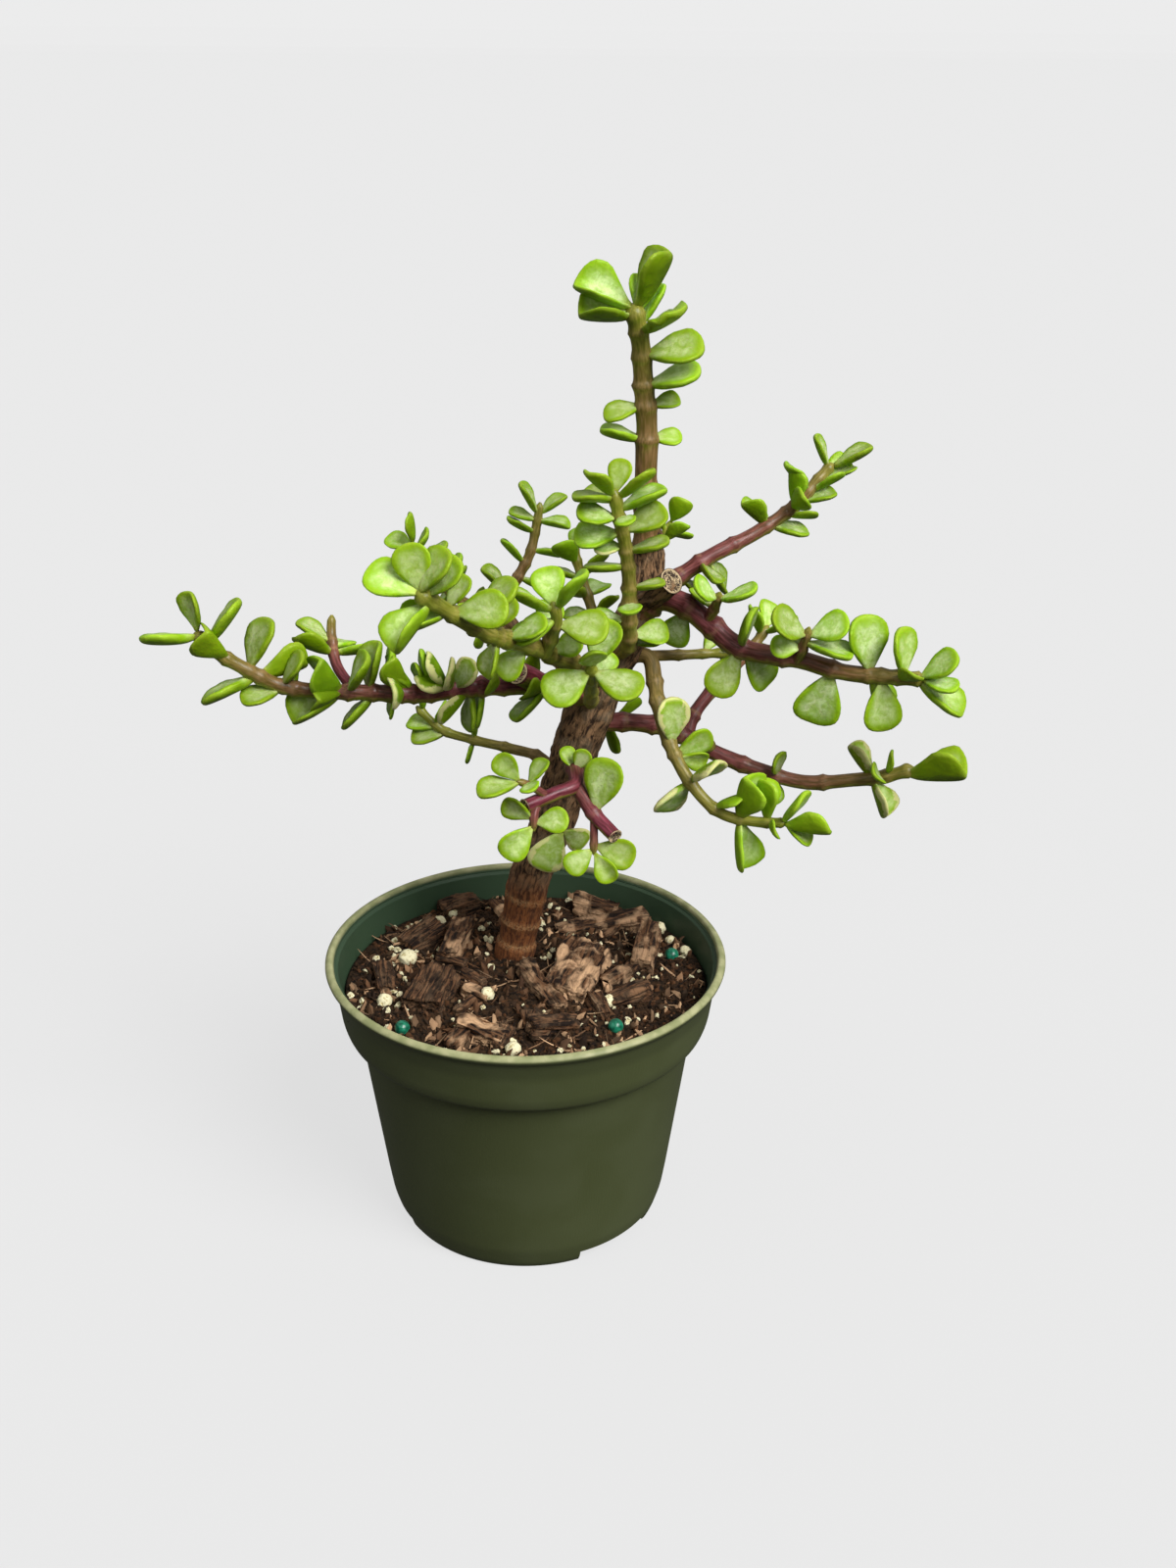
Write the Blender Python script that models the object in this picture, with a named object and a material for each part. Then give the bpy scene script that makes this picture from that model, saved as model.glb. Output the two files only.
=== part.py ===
"""Dwarf jade bonsai (Portulacaria afra) growing in a round plastic nursery pot.

Metres, +Z up. The origin is the middle of the pot's flat foot, on the surface that it stands on, and
-Y is the front. The tables of routes and places are in millimetres, which MM turns to metres once.
"""

import math
from collections import namedtuple

import bmesh
import bpy
import numpy as np
from mathutils import Matrix, Vector

MM = 0.001

# Pot, a thin moulded shell with a tall collar and three drain notches in the edge of its foot
RIM_RADIUS = 54.0
POT_HEIGHT = 77.0
FOOT_RADIUS = 36.0
WALL = 1.3
LIP_INNER_RADIUS = 51.5
LIP_LEDGE = 75.5
POT_SIDES = 40
POT_OUTSIDE = [
    (53.0, POT_HEIGHT),
    (RIM_RADIUS, 76.0),
    (53.5, 75.0),
    (52.5, 74.0),
    (51.0, 69.0),
    (50.0, 61.5),
    (49.0, 58.5),
    (45.5, 57.0),
    (39.5, 13.0),
    (38.5, 6.5),
    (37.0, 1.5),
    (FOOT_RADIUS, 0.0),
]
POT_INSIDE = [(36.5, 3.0), (38.0, 13.0), (44.0, 57.0), (48.5, 61.5), (49.5, 69.0), (50.5, 74.5)]
NOTCH_MIDDLES = (44.0, 164.0, 284.0)
NOTCH_SPREAD = 40.0
NOTCH_HEIGHT = 3.6
NOTCH_DEPTH = 7.0
NOTCH_STEPS = (-1.0, -0.33, 0.33, 1.0)
DRAIN_RADIUS = 2.2
DRAIN_SIDES = 8
CAVITY_FOOT = 35.0

# Clearance between pieces, and how far a cutter reaches past the face that it cuts
FIT_GAP = 0.3
CUT_OVER = 4.0

# Potting mix, a low mound of bark and peat with perlite and coated fertiliser prills
SOIL_EDGE_HEIGHT = 67.5
SOIL_MOUND = 2.0
SOIL_MOUND_REACH = 50.0
SOIL_RINGS = (12.0, 24.0, 36.0, 45.0)
SOIL_WALL_HEIGHTS = (67.5, 62.0, 57.0, 13.0, 3.0)
SOIL_SLACK = 0.2
SOIL_SIDES = 22
SOIL_ROUGHNESS = 0.8
SMALL_CHIPS = 18
SMALL_CHIP_LENGTH = (7.0, 11.0)
SMALL_CHIP_WIDTH = 0.45
SMALL_CHIP_TILT = 15.0
CHIP_REACH = 41.0
CHIP_TAPER = 0.68
CHIP_PROUD = 0.2
GRAIN_PROUD = 0.2
GRAIN_ROUGHNESS = (0.82, 1.1)
COLLAR = (-4.0, 13.0)
COLLAR_ROOM = 13.0

# Bark chips: middle x and y, length, width, thickness, heading in degrees, tilt in degrees
BARK_CHIPS = [
    (14, -1, 27, 14, 8, 70, 8),
    (-25, -12, 20, 12, 9, 75, 12),
    (22, 27, 30, 8, 6, 12, 6),
    (33, 11, 20, 7, 10, 80, 10),
    (-30, 18, 15, 10, 7, 40, 14),
    (-20, 13, 22, 6, 10, 78, 8),
    (-21, 38, 12, 7, 6, 20, 10),
    (4, -9, 24, 5, 5, 118, 6),
    (-10, -31, 15, 7, 6, 160, 8),
    (19, 38, 15, 6, 6, 170, 10),
    (8, -28, 14, 6, 5, 200, 10),
    (28, -12, 13, 6, 5, 20, 12),
    (-38, -3, 13, 6, 5, 100, 10),
]
PERLITE = [
    (-23, 36, 4),
    (-26, 31, 3),
    (-27, 22, 3),
    (-37, -14, 4),
    (-10, -12, 4),
    (22, -15, 4),
    (-2, -37, 4),
    (40, 21, 3),
    (37, 28, 4),
    (44, 15, 3),
    (-33, 8, 5),
    (-6, 26, 3),
]
PRILLS = [(-31, -27), (40, 12), (24, -26), (33, 31)]
PRILL_SIZE = 4.0

# Trunk: middle of each section and its radius, from the root end in the mix to the bare top
TRUNK = [
    ((-6, 14, 30), 3.0),
    ((-5, 13, 52), 5.4),
    ((-4, 13, 66), 6.2),
    ((-3, 13, 73), 5.8),
    ((-1, 13, 84), 5.7),
    ((2, 13, 97), 5.6),
    ((7, 11, 110), 5.7),
    ((11, 10, 124), 6.1),
    ((15, 8, 139), 6.3),
    ((20, 7, 152), 5.9),
    ((26, 6, 165), 5.2),
    ((30, 6, 176), 4.2),
    ((31, 8, 187), 3.2),
    ((30, 8, 198), 3.1),
]
TRUNK_SIDES = 10
STEM_SIDES = 6
RING_STEP = 7.0
TRUNK_STEP = 8.5
FEWEST_RINGS = 3
FINE_STEP = 0.5
CURVE_STEPS = 12
SOIL_HOLE = 0.5

# Leaves, thick and spoon-shaped, in opposite pairs that turn a quarter from one pair to the next
LEAF_HALF_WIDTH = 0.39
LEAF_THICKNESS = 0.20
LEAF_UPPER_SHARE = 0.35
LEAF_CUP = 0.07
LEAF_OUTLINE = ((0.0, 0.16), (0.30, 0.60), (0.62, 1.0), (0.87, 0.76))
LEAF_RIDGE = (0.40, 0.76)
LEAF_SUNK = 0.65
LIGHT = np.array((0.0, -0.60, 0.80))
UPRIGHT = 0.72
LEAF_WOBBLE = 3.0
LEAF_ROLL = 25.0
DRAW_SEED = 7

# Room kept round a leaf: from another spray's leaves, from its own spray's leaves and from other stems,
# and the turns and tips in degrees that are tried in order until a leaf has it
LEAF_ROOM = 2.7
SISTER_ROOM = 1.2
STEM_ROOM = 1.3
LEAST_ROOM = 0.8
STEM_SPOT_STEP = 1.5
TRIED_TURNS = (12, -12, 24, -24, 36, -36, 50, -50)
TRIED_TIPS = (0, 15, -15)

# A stem: its route, its radius at the base and the tip, the length left on the trunk as a stub, how
# far its blades turn from the stem's tip to the light, and its leaves. A leaf is its station, its
# bearing round the stem, how far it leans towards the stem's tip and its length. Bearings run from the
# upper side of a stem, or from the front of an upright one, and leaves of one pair stand half a turn
# apart.
Stem = namedtuple("Stem", "route base_radius tip_radius stub turn leaves")

SPRAYS = {
    "leader_shoot": [
        Stem(
            [(31, 8, 187), (30, 8, 198), (30, 8, 216), (29, 8, 227), (28, 7, 237), (26, 5, 246)],
            3.1, 2.1, 11, 0.5,
            [(27, 95, 0, 6), (27, 275, 10, 9), (35, 100, -5, 6), (35, 280, -5, 8), (40, 75, 12, 12),
             (47, 72, 5, 13), (53, 55, 20, 12), (54, 140, 35, 10), (57, 290, 18, 12), (57, 130, 5, 9),
             (59, 95, 42, 13), (59, 272, 34, 13)],
        ),
    ],
    "leader_side_shoot": [
        Stem(
            [(31, 8, 184), (34, 13, 186), (36, 17, 189), (37, 18, 191)],
            1.4, 0.9, 6, 0.3,
            [(8, 60, 30, 7), (8, 240, 30, 5), (11, 150, 30, 7), (11, 330, 20, 7), (14, 60, 45, 7)],
        ),
    ],
    "centre_shoot": [
        Stem(
            [(23, 7, 159), (26, -3, 165), (26, -8, 172), (26, -10, 182), (25, -12, 192),
             (23, -14, 201), (22, -15, 207)],
            2.3, 1.4, 10, 0.15,
            [(13, 110, 20, 7), (17, 95, 0, 8), (22, 275, 5, 7), (27, 0, 10, 7), (31, 85, 10, 7),
             (37, 275, 5, 9), (41, 85, 5, 9), (42, 265, 5, 6), (46, 95, 8, 10), (46, 275, 8, 10),
             (50, 285, 25, 9), (50, 15, 15, 6), (52, 100, 12, 11), (54, 240, 10, 8), (55, 275, 5, 9),
             (55, 90, 32, 10), (56, 310, 50, 9), (56, 130, 60, 7)],
        ),
    ],
    "right_upper_branch": [
        Stem(
            [(28, 6, 172), (35, 9, 176), (46, 12, 183), (58, 17, 188), (68, 21, 194), (74, 24, 200),
             (78, 26, 204)],
            2.4, 1.3, 10, 0.25,
            [(14, 180, 10, 5), (20, 105, -5, 8), (22, 190, 10, 10), (40, 0, -25, 8), (41, 300, 10, 6),
             (41, 170, 45, 9), (46, 165, 50, 7), (48, 60, 10, 8), (49, 0, 5, 9), (51, 150, 60, 8),
             (54, 350, 0, 9), (55, 120, 60, 8), (58, 165, 60, 9), (62, 350, 15, 8), (63, 130, 65, 10)],
        ),
    ],
    "right_main_branch": [
        Stem(
            [(28, 6, 170), (34, 3, 175), (40, 1, 174), (46, -1, 170), (54, -5, 165), (68, -10, 164),
             (78, -13, 162), (88, -16, 162), (97, -18, 162)],
            3.3, 1.7, 13, 0.75,
            [(16, 185, 0, 9), (33, 25, 0, 11), (33, 150, -15, 11), (34, 200, 35, 10), (44, 10, 20, 6),
             (56, 180, -10, 13), (65, 0, -10, 13), (66, 205, 10, 14), (68, 172, 5, 12),
             (72, 60, 30, 7), (73, 0, -5, 11), (77, 20, 50, 10), (77, 185, 55, 12), (78, 90, 60, 8)],
        ),
        Stem(
            [(45, -1, 170), (47, -4, 175), (48, -7, 180)],
            1.5, 1.0, 0, 0.5,
            [(10, 75, 40, 10), (10, 290, 45, 9), (6, 200, 10, 7)],
        ),
        Stem(
            [(67, -10, 163), (68, -13, 168), (69, -15, 174)],
            1.5, 1.0, 0, 0.6,
            [(10, 290, 30, 11), (10, 80, 40, 10), (8, 65, 5, 11), (6, 270, 0, 7)],
        ),
    ],
    "hanging_branch": [
        Stem(
            [(22, 7, 158), (31, 6, 159), (33, 2, 154), (34, -4, 149), (37, -10, 141), (42, -15, 133),
             (49, -19, 127), (57, -22, 126), (65, -25, 127)],
            2.2, 1.2, 8, 0.25,
            [(34, 0, -50, 11), (37, 300, -10, 9), (38, 280, 20, 7), (45, 0, 0, 10), (45, 175, 0, 11),
             (54, 0, 25, 9), (61, 0, 0, 12), (61, 180, 5, 12), (68, 350, -5, 10), (69, 90, 20, 6),
             (72, 10, 45, 10), (73, 95, 80, 11), (73, 190, 50, 7)],
        ),
        Stem(
            [(31, 6, 159), (41, 10, 158), (53, 12, 158)],
            1.5, 1.1, 0, 0.5,
            [(16, 330, 30, 6), (20, 20, 50, 8), (20, 200, 40, 6)],
        ),
    ],
    "lower_right_branch": [
        Stem(
            [(16, 8, 140), (29, 8, 140), (38, 8, 138), (47, 5, 134), (59, 2, 130), (72, 0, 127),
             (84, -3, 129), (92, -5, 131), (99, -7, 134)],
            2.5, 1.6, 9, 0.35,
            [(52, 30, -10, 7), (52, 170, 20, 6), (77, 0, -25, 9), (77, 165, 15, 9), (79, 60, 0, 7),
             (81, 20, 30, 6), (86, 150, 72, 14)],
        ),
        Stem(
            [(42, 8, 136), (44, 12, 141), (51, 18, 148), (58, 24, 153), (64, 28, 160)],
            1.9, 1.2, 0, 0.4,
            [(24, 0, 10, 8), (29, 270, 30, 8), (33, 180, 10, 8), (36, 0, 20, 8), (37, 90, 40, 9),
             (38, 270, 60, 8)],
        ),
        Stem([(45, 6, 134), (47, 2, 136), (48, 0, 138)], 1.9, 1.7, 0, 0, []),
    ],
    "left_main_branch": [
        Stem(
            [(18, 6, 148), (6, -3, 154), (-1, -5, 155), (-13, -7, 155), (-25, -9, 154),
             (-37, -11, 155), (-48, -13, 156), (-58, -15, 158), (-66, -17, 163), (-73, -18, 168),
             (-77, -19, 173)],
            2.8, 1.5, 9, 0.25,
            [(17, 200, 45, 10), (18, 250, 30, 7), (28, 0, -20, 7), (30, 300, 0, 9), (33, 170, 10, 9),
             (36, 185, 0, 9), (37, 215, 45, 9), (40, 335, -40, 8), (41, 320, 0, 9), (42, 350, 15, 9),
             (41, 330, 55, 8), (46, 30, 0, 9), (47, 350, 0, 6), (50, 10, 40, 8), (52, 345, 15, 9),
             (53, 300, 0, 9), (56, 20, 5, 11), (55, 170, 0, 5), (60, 180, 40, 10), (61, 10, -5, 11),
             (66, 335, -25, 11), (68, 330, 30, 11), (68, 275, 30, 8), (68, 185, 55, 12),
             (79, 30, 0, 6), (82, 340, -5, 9), (82, 200, 50, 9), (88, 25, -50, 12), (89, 180, 35, 13),
             (91, 15, 10, 12), (97, 310, 45, 10), (103, 0, 12, 12), (106, 185, 38, 12),
             (107, 0, 55, 9)],
        ),
        Stem([(4, -4, 155), (1, -7, 158), (-1, -10, 160)], 3.0, 2.9, 0, 0, []),
        Stem(
            [(-40, -11, 154), (-46, -4, 159), (-48, 2, 165), (-48, 4, 170)],
            1.5, 1.1, 0, 0.4,
            [(18, 280, 40, 9), (17, 150, 30, 9), (15, 300, 5, 10), (15, 75, 15, 10)],
        ),
    ],
    "front_left_branch": [
        Stem(
            [(20, 6, 153), (13, -12, 163), (4, -28, 173), (-6, -42, 181), (-15, -52, 190),
             (-20, -57, 195)],
            2.7, 1.7, 9, 0.35,
            [(36, 300, 0, 7), (46, 150, 0, 8), (55, 300, -10, 9), (58, 170, -10, 8), (62, 340, 0, 8),
             (67, 330, -10, 12), (75, 300, -25, 11), (76, 150, 30, 9), (77, 350, 0, 7),
             (82, 180, 20, 12), (84, 330, 5, 10), (85, 20, 40, 10), (86, 90, 35, 11), (86, 0, 10, 10)],
        ),
        Stem(
            [(6, -26, 171), (8, -30, 177), (9, -33, 182), (8, -34, 186)],
            1.9, 1.2, 0, 0.3,
            [(6, 200, 10, 8), (11, 85, 15, 11), (13, 290, 5, 10), (16, 290, 42, 11), (16, 80, 40, 11),
             (16, 180, 40, 9)],
        ),
    ],
    "front_rosette": [
        Stem(
            [(17, 7, 146), (17, -8, 153), (17, -20, 162), (17, -27, 168)],
            2.0, 1.3, 9, 0.35,
            [(33, 320, 0, 7), (38, 240, 5, 12), (38, 115, 5, 12), (40, 345, 15, 11), (40, 330, 70, 8)],
        ),
    ],
    "back_left_branch": [
        Stem(
            [(19, 8, 150), (8, 22, 152), (-2, 34, 154), (-13, 42, 158), (-23, 47, 164),
             (-33, 52, 175)],
            2.2, 1.2, 9, 0.3,
            [(28, 0, 0, 8), (28, 180, 0, 8), (36, 90, 0, 8), (36, 270, 0, 8), (46, 0, 0, 8),
             (46, 180, 0, 8), (53, 90, 0, 8), (53, 270, 0, 8), (59, 350, 0, 8), (59, 170, 10, 7),
             (63, 0, 0, 9), (71, 0, -10, 8), (74, 340, 0, 8), (75, 170, 55, 8), (76, 0, 40, 8)],
        ),
        Stem(
            [(-3, 35, 154), (-6, 40, 162), (0, 44, 174), (2, 46, 182), (3, 47, 188)],
            1.7, 1.1, 0, 0.2,
            [(13, 270, 20, 9), (18, 90, 5, 8), (22, 275, 20, 8), (26, 90, 10, 7), (31, 300, 10, 8),
             (34, 80, 5, 8), (34, 280, 10, 7), (36, 300, 50, 9), (36, 110, 45, 8)],
        ),
    ],
    "back_centre_shoot": [
        Stem(
            [(23, 7, 157), (19, 17, 162), (16, 21, 170), (13, 24, 179), (12, 25, 184)],
            1.6, 1.1, 8, 0.3,
            [(17, 75, 10, 7), (17, 255, 10, 7), (22, 330, 15, 9), (22, 150, 15, 8), (27, 75, 25, 8),
             (27, 255, 25, 8), (31, 340, 35, 8), (34, 160, 40, 7), (34, 80, 50, 7)],
        ),
    ],
    "lower_left_twig": [
        Stem(
            [(10, 10, 121), (4, 19, 125), (-5, 26, 125), (-16, 30, 126), (-24, 32, 128),
             (-31, 34, 134)],
            1.6, 1.1, 8, 0.4,
            [(34, 0, 0, 8), (34, 180, 10, 6), (42, 200, 55, 9), (45, 170, 55, 8), (46, 350, 10, 7),
             (51, 0, 30, 7)],
        ),
    ],
    "low_front_fork": [
        Stem(
            [(12, 9, 127), (13, -4, 131), (13, -10, 130), (8, -13, 129), (1, -16, 127)],
            1.9, 1.8, 8, 0.6,
            [(12, 25, 0, 5), (13, 335, 10, 5)],
        ),
        Stem(
            [(13, -9, 130), (18, -14, 124), (23, -18, 120)],
            1.9, 1.8, 0, 0.8,
            [(9, 335, -30, 13)],
        ),
        Stem(
            [(6, -14, 129), (2, -17, 133), (-1, -19, 135)],
            1.1, 0.9, 0, 0.6,
            [(7, 0, -10, 7), (8, 270, 20, 6), (10, 40, 50, 8), (10, 150, 50, 10)],
        ),
        Stem(
            [(4, -15, 127), (3, -17, 125), (3, -18, 121)],
            1.1, 0.9, 0, 0.6,
            [(4, 90, -30, 8), (5, 280, -10, 8), (6, 80, 40, 10)],
        ),
        Stem(
            [(18, -14, 124), (18, -16, 118), (18, -17, 114)],
            1.1, 0.9, 0, 0.6,
            [(8, 275, 15, 10), (9, 80, 40, 8), (10, 285, 50, 8)],
        ),
    ],
    "low_trunk_sprout": [
        Stem(
            [(8, 11, 113), (9, -1, 116), (10, -6, 115)],
            1.2, 0.9, 8, 0.5,
            [(17, 150, 10, 12), (17, 235, 0, 8)],
        ),
    ],
    "right_trunk_sprout": [
        Stem(
            [(13, 9, 133), (20, 14, 137), (24, 18, 138)],
            1.2, 0.9, 8, 0.5,
            [(12, 180, 0, 9), (14, 60, 60, 8)],
        ),
    ],
}

# Bare cut stub on the trunk beside the leader
CUT_STUB = [(28, 6, 172), (33, -1, 178), (36, -5, 182)]
CUT_STUB_RADIUS = 3.1


def clear_scene():
    for thing in list(bpy.data.objects):
        bpy.data.objects.remove(thing, do_unlink=True)


def hex_colour(text):
    """Linear colour of an sRGB hex value."""
    channels = [int(text[i:i + 2], 16) / 255 for i in (1, 3, 5)]
    linear = [c / 12.92 if c <= 0.04045 else ((c + 0.055) / 1.055) ** 2.4 for c in channels]
    return (*linear, 1.0)


def plain_material(name, colour, roughness):
    material = bpy.data.materials.new(name)
    material.use_nodes = True
    shader = material.node_tree.nodes["Principled BSDF"]
    shader.inputs["Base Color"].default_value = hex_colour(colour)
    shader.inputs["Roughness"].default_value = roughness
    shader.inputs["Metallic"].default_value = 0.0
    return material


def add_object(name, mesh):
    thing = bpy.data.objects.new(name, mesh)
    bpy.context.scene.collection.objects.link(thing)
    return thing


def mesh_object(name, points, faces):
    """An object from points in millimetres and faces as lists of point numbers."""
    mesh = bpy.data.meshes.new(name)
    mesh.from_pydata([tuple(np.asarray(p) * MM) for p in points], [], faces)
    mesh.update()
    return add_object(name, mesh)


def use_boolean(thing, operation, others, solver="EXACT"):
    """Apply one Boolean with a collection of other objects, which are then removed."""
    group = bpy.data.collections.new(thing.name + "_operands")
    bpy.context.scene.collection.children.link(group)
    for other in others:
        bpy.context.scene.collection.objects.unlink(other)
        group.objects.link(other)
    modifier = thing.modifiers.new(operation.title(), "BOOLEAN")
    modifier.operation = operation
    modifier.operand_type = "COLLECTION"
    modifier.collection = group
    modifier.solver = solver
    graph = bpy.context.evaluated_depsgraph_get()
    result = bpy.data.meshes.new_from_object(thing.evaluated_get(graph))
    thing.modifiers.clear()
    old = thing.data
    thing.data = result
    bpy.data.meshes.remove(old)
    for other in others:
        bpy.data.objects.remove(other, do_unlink=True)
    bpy.data.collections.remove(group)
    return thing


def turned_solid(name, profile, sides):
    """A closed turned solid. The profile runs from the axis at the top down to the axis at the foot."""
    rim = profile[1:-1]
    points = [(0.0, 0.0, profile[0][1])]
    for radius, height in rim:
        for i in range(sides):
            angle = 2 * math.pi * i / sides
            points.append((radius * math.cos(angle), radius * math.sin(angle), height))
    points.append((0.0, 0.0, profile[-1][1]))
    last = len(points) - 1
    faces = []
    for i in range(sides):
        j = (i + 1) % sides
        faces.append((0, 1 + i, 1 + j))
        for k in range(len(rim) - 1):
            a = 1 + k * sides
            b = a + sides
            faces.append((a + i, b + i, b + j, a + j))
        a = 1 + (len(rim) - 1) * sides
        faces.append((a + j, a + i, last))
    return mesh_object(name, points, faces)


def front_angle(degrees):
    """Radians about the axis of a bearing measured from the front towards the right."""
    return math.radians(degrees - 90.0)


def notch_blocks(grow):
    """One block at each drain notch, larger by grow on its inner, upper and end faces."""
    blocks = []
    inner = FOOT_RADIUS - NOTCH_DEPTH - grow
    outer = FOOT_RADIUS + CUT_OVER
    top = NOTCH_HEIGHT + grow
    for middle in NOTCH_MIDDLES:
        centre = front_angle(middle)
        half = math.radians(NOTCH_SPREAD / 2) + grow / FOOT_RADIUS
        outline = []
        for radius in (inner, outer):
            for share in NOTCH_STEPS:
                angle = centre + share * half
                outline.append((radius * math.cos(angle), radius * math.sin(angle)))
        ring = outline[:len(NOTCH_STEPS)][::-1] + outline[len(NOTCH_STEPS):]
        count = len(ring)
        points = [(x, y, -CUT_OVER) for x, y in ring] + [(x, y, top) for x, y in ring]
        faces = [tuple(range(count - 1, -1, -1)), tuple(range(count, 2 * count))]
        faces += [(i, (i + 1) % count, (i + 1) % count + count, i + count) for i in range(count)]
        blocks.append(mesh_object("notch", points, faces))
    return blocks


def drain_holes():
    """A round hole up through the roof of each notch."""
    holes = []
    reach = FOOT_RADIUS - NOTCH_DEPTH / 2
    top, low = NOTCH_HEIGHT + CUT_OVER, NOTCH_HEIGHT - WALL
    profile = [(0, top), (DRAIN_RADIUS, top), (DRAIN_RADIUS, low), (0, low)]
    for middle in NOTCH_MIDDLES:
        angle = front_angle(middle)
        hole = turned_solid("drain", profile, DRAIN_SIDES)
        place = Vector((reach * math.cos(angle), reach * math.sin(angle), 0.0)) * MM
        hole.data.transform(Matrix.Translation(place))
        holes.append(hole)
    return holes


def make_pot():
    body = turned_solid("pot", [(0, POT_HEIGHT)] + POT_OUTSIDE + [(0, 0)], POT_SIDES)
    mouth = POT_HEIGHT + CUT_OVER
    inside = [(0, mouth), (LIP_INNER_RADIUS, mouth), (LIP_INNER_RADIUS, LIP_LEDGE)]
    inside += POT_INSIDE[::-1] + [(CAVITY_FOOT, WALL), (0, WALL)]
    cavity = turned_solid("cavity", inside, POT_SIDES)
    use_boolean(cavity, "DIFFERENCE", notch_blocks(WALL))
    use_boolean(body, "DIFFERENCE", [cavity] + notch_blocks(0.0) + drain_holes())
    body.data.materials.append(plain_material("green_polypropylene", "#39462B", 0.42))
    return body


def mound_height(x, y):
    """Height of the mix at a point, without its lumps."""
    reach = math.hypot(x, y) / SOIL_MOUND_REACH
    return SOIL_EDGE_HEIGHT + SOIL_MOUND * (1 - reach ** 2)


def soil_body(draw):
    """What fills the pot, with a lumpy top and a side that keeps clear of the pot's wall."""
    radii, heights = zip(*POT_INSIDE)
    profile = [(radius, None) for radius in SOIL_RINGS]
    for height in SOIL_WALL_HEIGHTS:
        profile.append((float(np.interp(height, heights, radii)) - FIT_GAP - SOIL_SLACK, height))
    profile.append((CAVITY_FOOT - FIT_GAP, WALL + FIT_GAP))
    points = [(0.0, 0.0, mound_height(0.0, 0.0))]
    for radius, height in profile:
        for i in range(SOIL_SIDES):
            angle = 2 * math.pi * i / SOIL_SIDES
            x, y = radius * math.cos(angle), radius * math.sin(angle)
            lump = draw.uniform(-SOIL_ROUGHNESS, SOIL_ROUGHNESS)
            points.append((x, y, mound_height(x, y) + lump if height is None else height))
    points.append((0.0, 0.0, WALL + FIT_GAP))
    last = len(points) - 1
    faces = []
    for i in range(SOIL_SIDES):
        j = (i + 1) % SOIL_SIDES
        faces.append((0, 1 + i, 1 + j))
        for k in range(len(profile) - 1):
            a = 1 + k * SOIL_SIDES
            b = a + SOIL_SIDES
            faces.append((a + i, b + i, b + j))
            faces.append((a + i, b + j, a + j))
        a = 1 + (len(profile) - 1) * SOIL_SIDES
        faces.append((a + j, a + i, last))
    body = mesh_object("potting_mix", points, faces)
    return use_boolean(body, "DIFFERENCE", notch_blocks(WALL + FIT_GAP))


def turned(points, heading, tilt):
    """Points turned about Z by a heading and tipped up at one end, both in degrees."""
    h, t = math.radians(heading), math.radians(tilt)
    tip = np.array([[math.cos(t), 0, -math.sin(t)], [0, 1, 0], [math.sin(t), 0, math.cos(t)]])
    spin = np.array([[math.cos(h), -math.sin(h), 0], [math.sin(h), math.cos(h), 0], [0, 0, 1]])
    return points @ tip.T @ spin.T


def bark_chip(x, y, length, width, thickness, heading, tilt, draw):
    """A split chip of bark: a box whose eight corners are each drawn in by a different share."""
    corners = []
    for sx, sy, sz in ((-1, -1, -1), (1, -1, -1), (1, 1, -1), (-1, 1, -1), (-1, -1, 1), (1, -1, 1),
                       (1, 1, 1), (-1, 1, 1)):
        shares = draw.uniform(CHIP_TAPER, 1.0, 3)
        corners.append((sx * length / 2 * shares[0], sy * width / 2 * shares[1],
                        sz * thickness / 2 * shares[2]))
    corners = turned(np.array(corners), heading, tilt)
    corners += (x, y, mound_height(x, y) + CHIP_PROUD * thickness)
    faces = [(0, 3, 2, 1), (4, 5, 6, 7), (0, 1, 5, 4), (1, 2, 6, 5), (2, 3, 7, 6), (3, 0, 4, 7)]
    triangles = [f for a, b, c, d in faces for f in ((a, b, c), (a, c, d))]
    return mesh_object("chip", corners, triangles)


def grain(x, y, size, draw):
    """A rough little ball that stands in the mix, sunk to just below its middle."""
    ball = bmesh.new()
    bmesh.ops.create_icosphere(ball, subdivisions=1, radius=size / 2)
    middle = (x, y, mound_height(x, y) + size * GRAIN_PROUD)
    points = [np.array(v.co) * draw.uniform(*GRAIN_ROUGHNESS) + middle for v in ball.verts]
    faces = [[v.index for v in face.verts] for face in ball.faces]
    ball.free()
    return mesh_object("grain", points, faces)


def make_potting_mix(trunk_hole):
    draw = np.random.default_rng(DRAW_SEED)
    body = soil_body(draw)
    bits = [bark_chip(*row, draw) for row in BARK_CHIPS]
    for _ in range(SMALL_CHIPS):
        reach, angle = CHIP_REACH * math.sqrt(draw.uniform()), draw.uniform(0, 2 * math.pi)
        x, y = reach * math.cos(angle), reach * math.sin(angle)
        length = draw.uniform(*SMALL_CHIP_LENGTH)
        heading, tilt = draw.uniform(0, 360), draw.uniform(0, SMALL_CHIP_TILT)
        width = length * SMALL_CHIP_WIDTH
        if math.hypot(x - COLLAR[0], y - COLLAR[1]) > COLLAR_ROOM:
            bits.append(bark_chip(x, y, length, width, width, heading, tilt, draw))
    bits += [grain(x, y, size, draw) for x, y, size in PERLITE]
    bits += [grain(x, y, PRILL_SIZE, draw) for x, y in PRILLS]
    use_boolean(body, "UNION", bits)
    use_boolean(body, "DIFFERENCE", [trunk_hole])
    body.data.materials.append(plain_material("bark_and_peat_mix", "#4A3325", 0.9))
    return body


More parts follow.
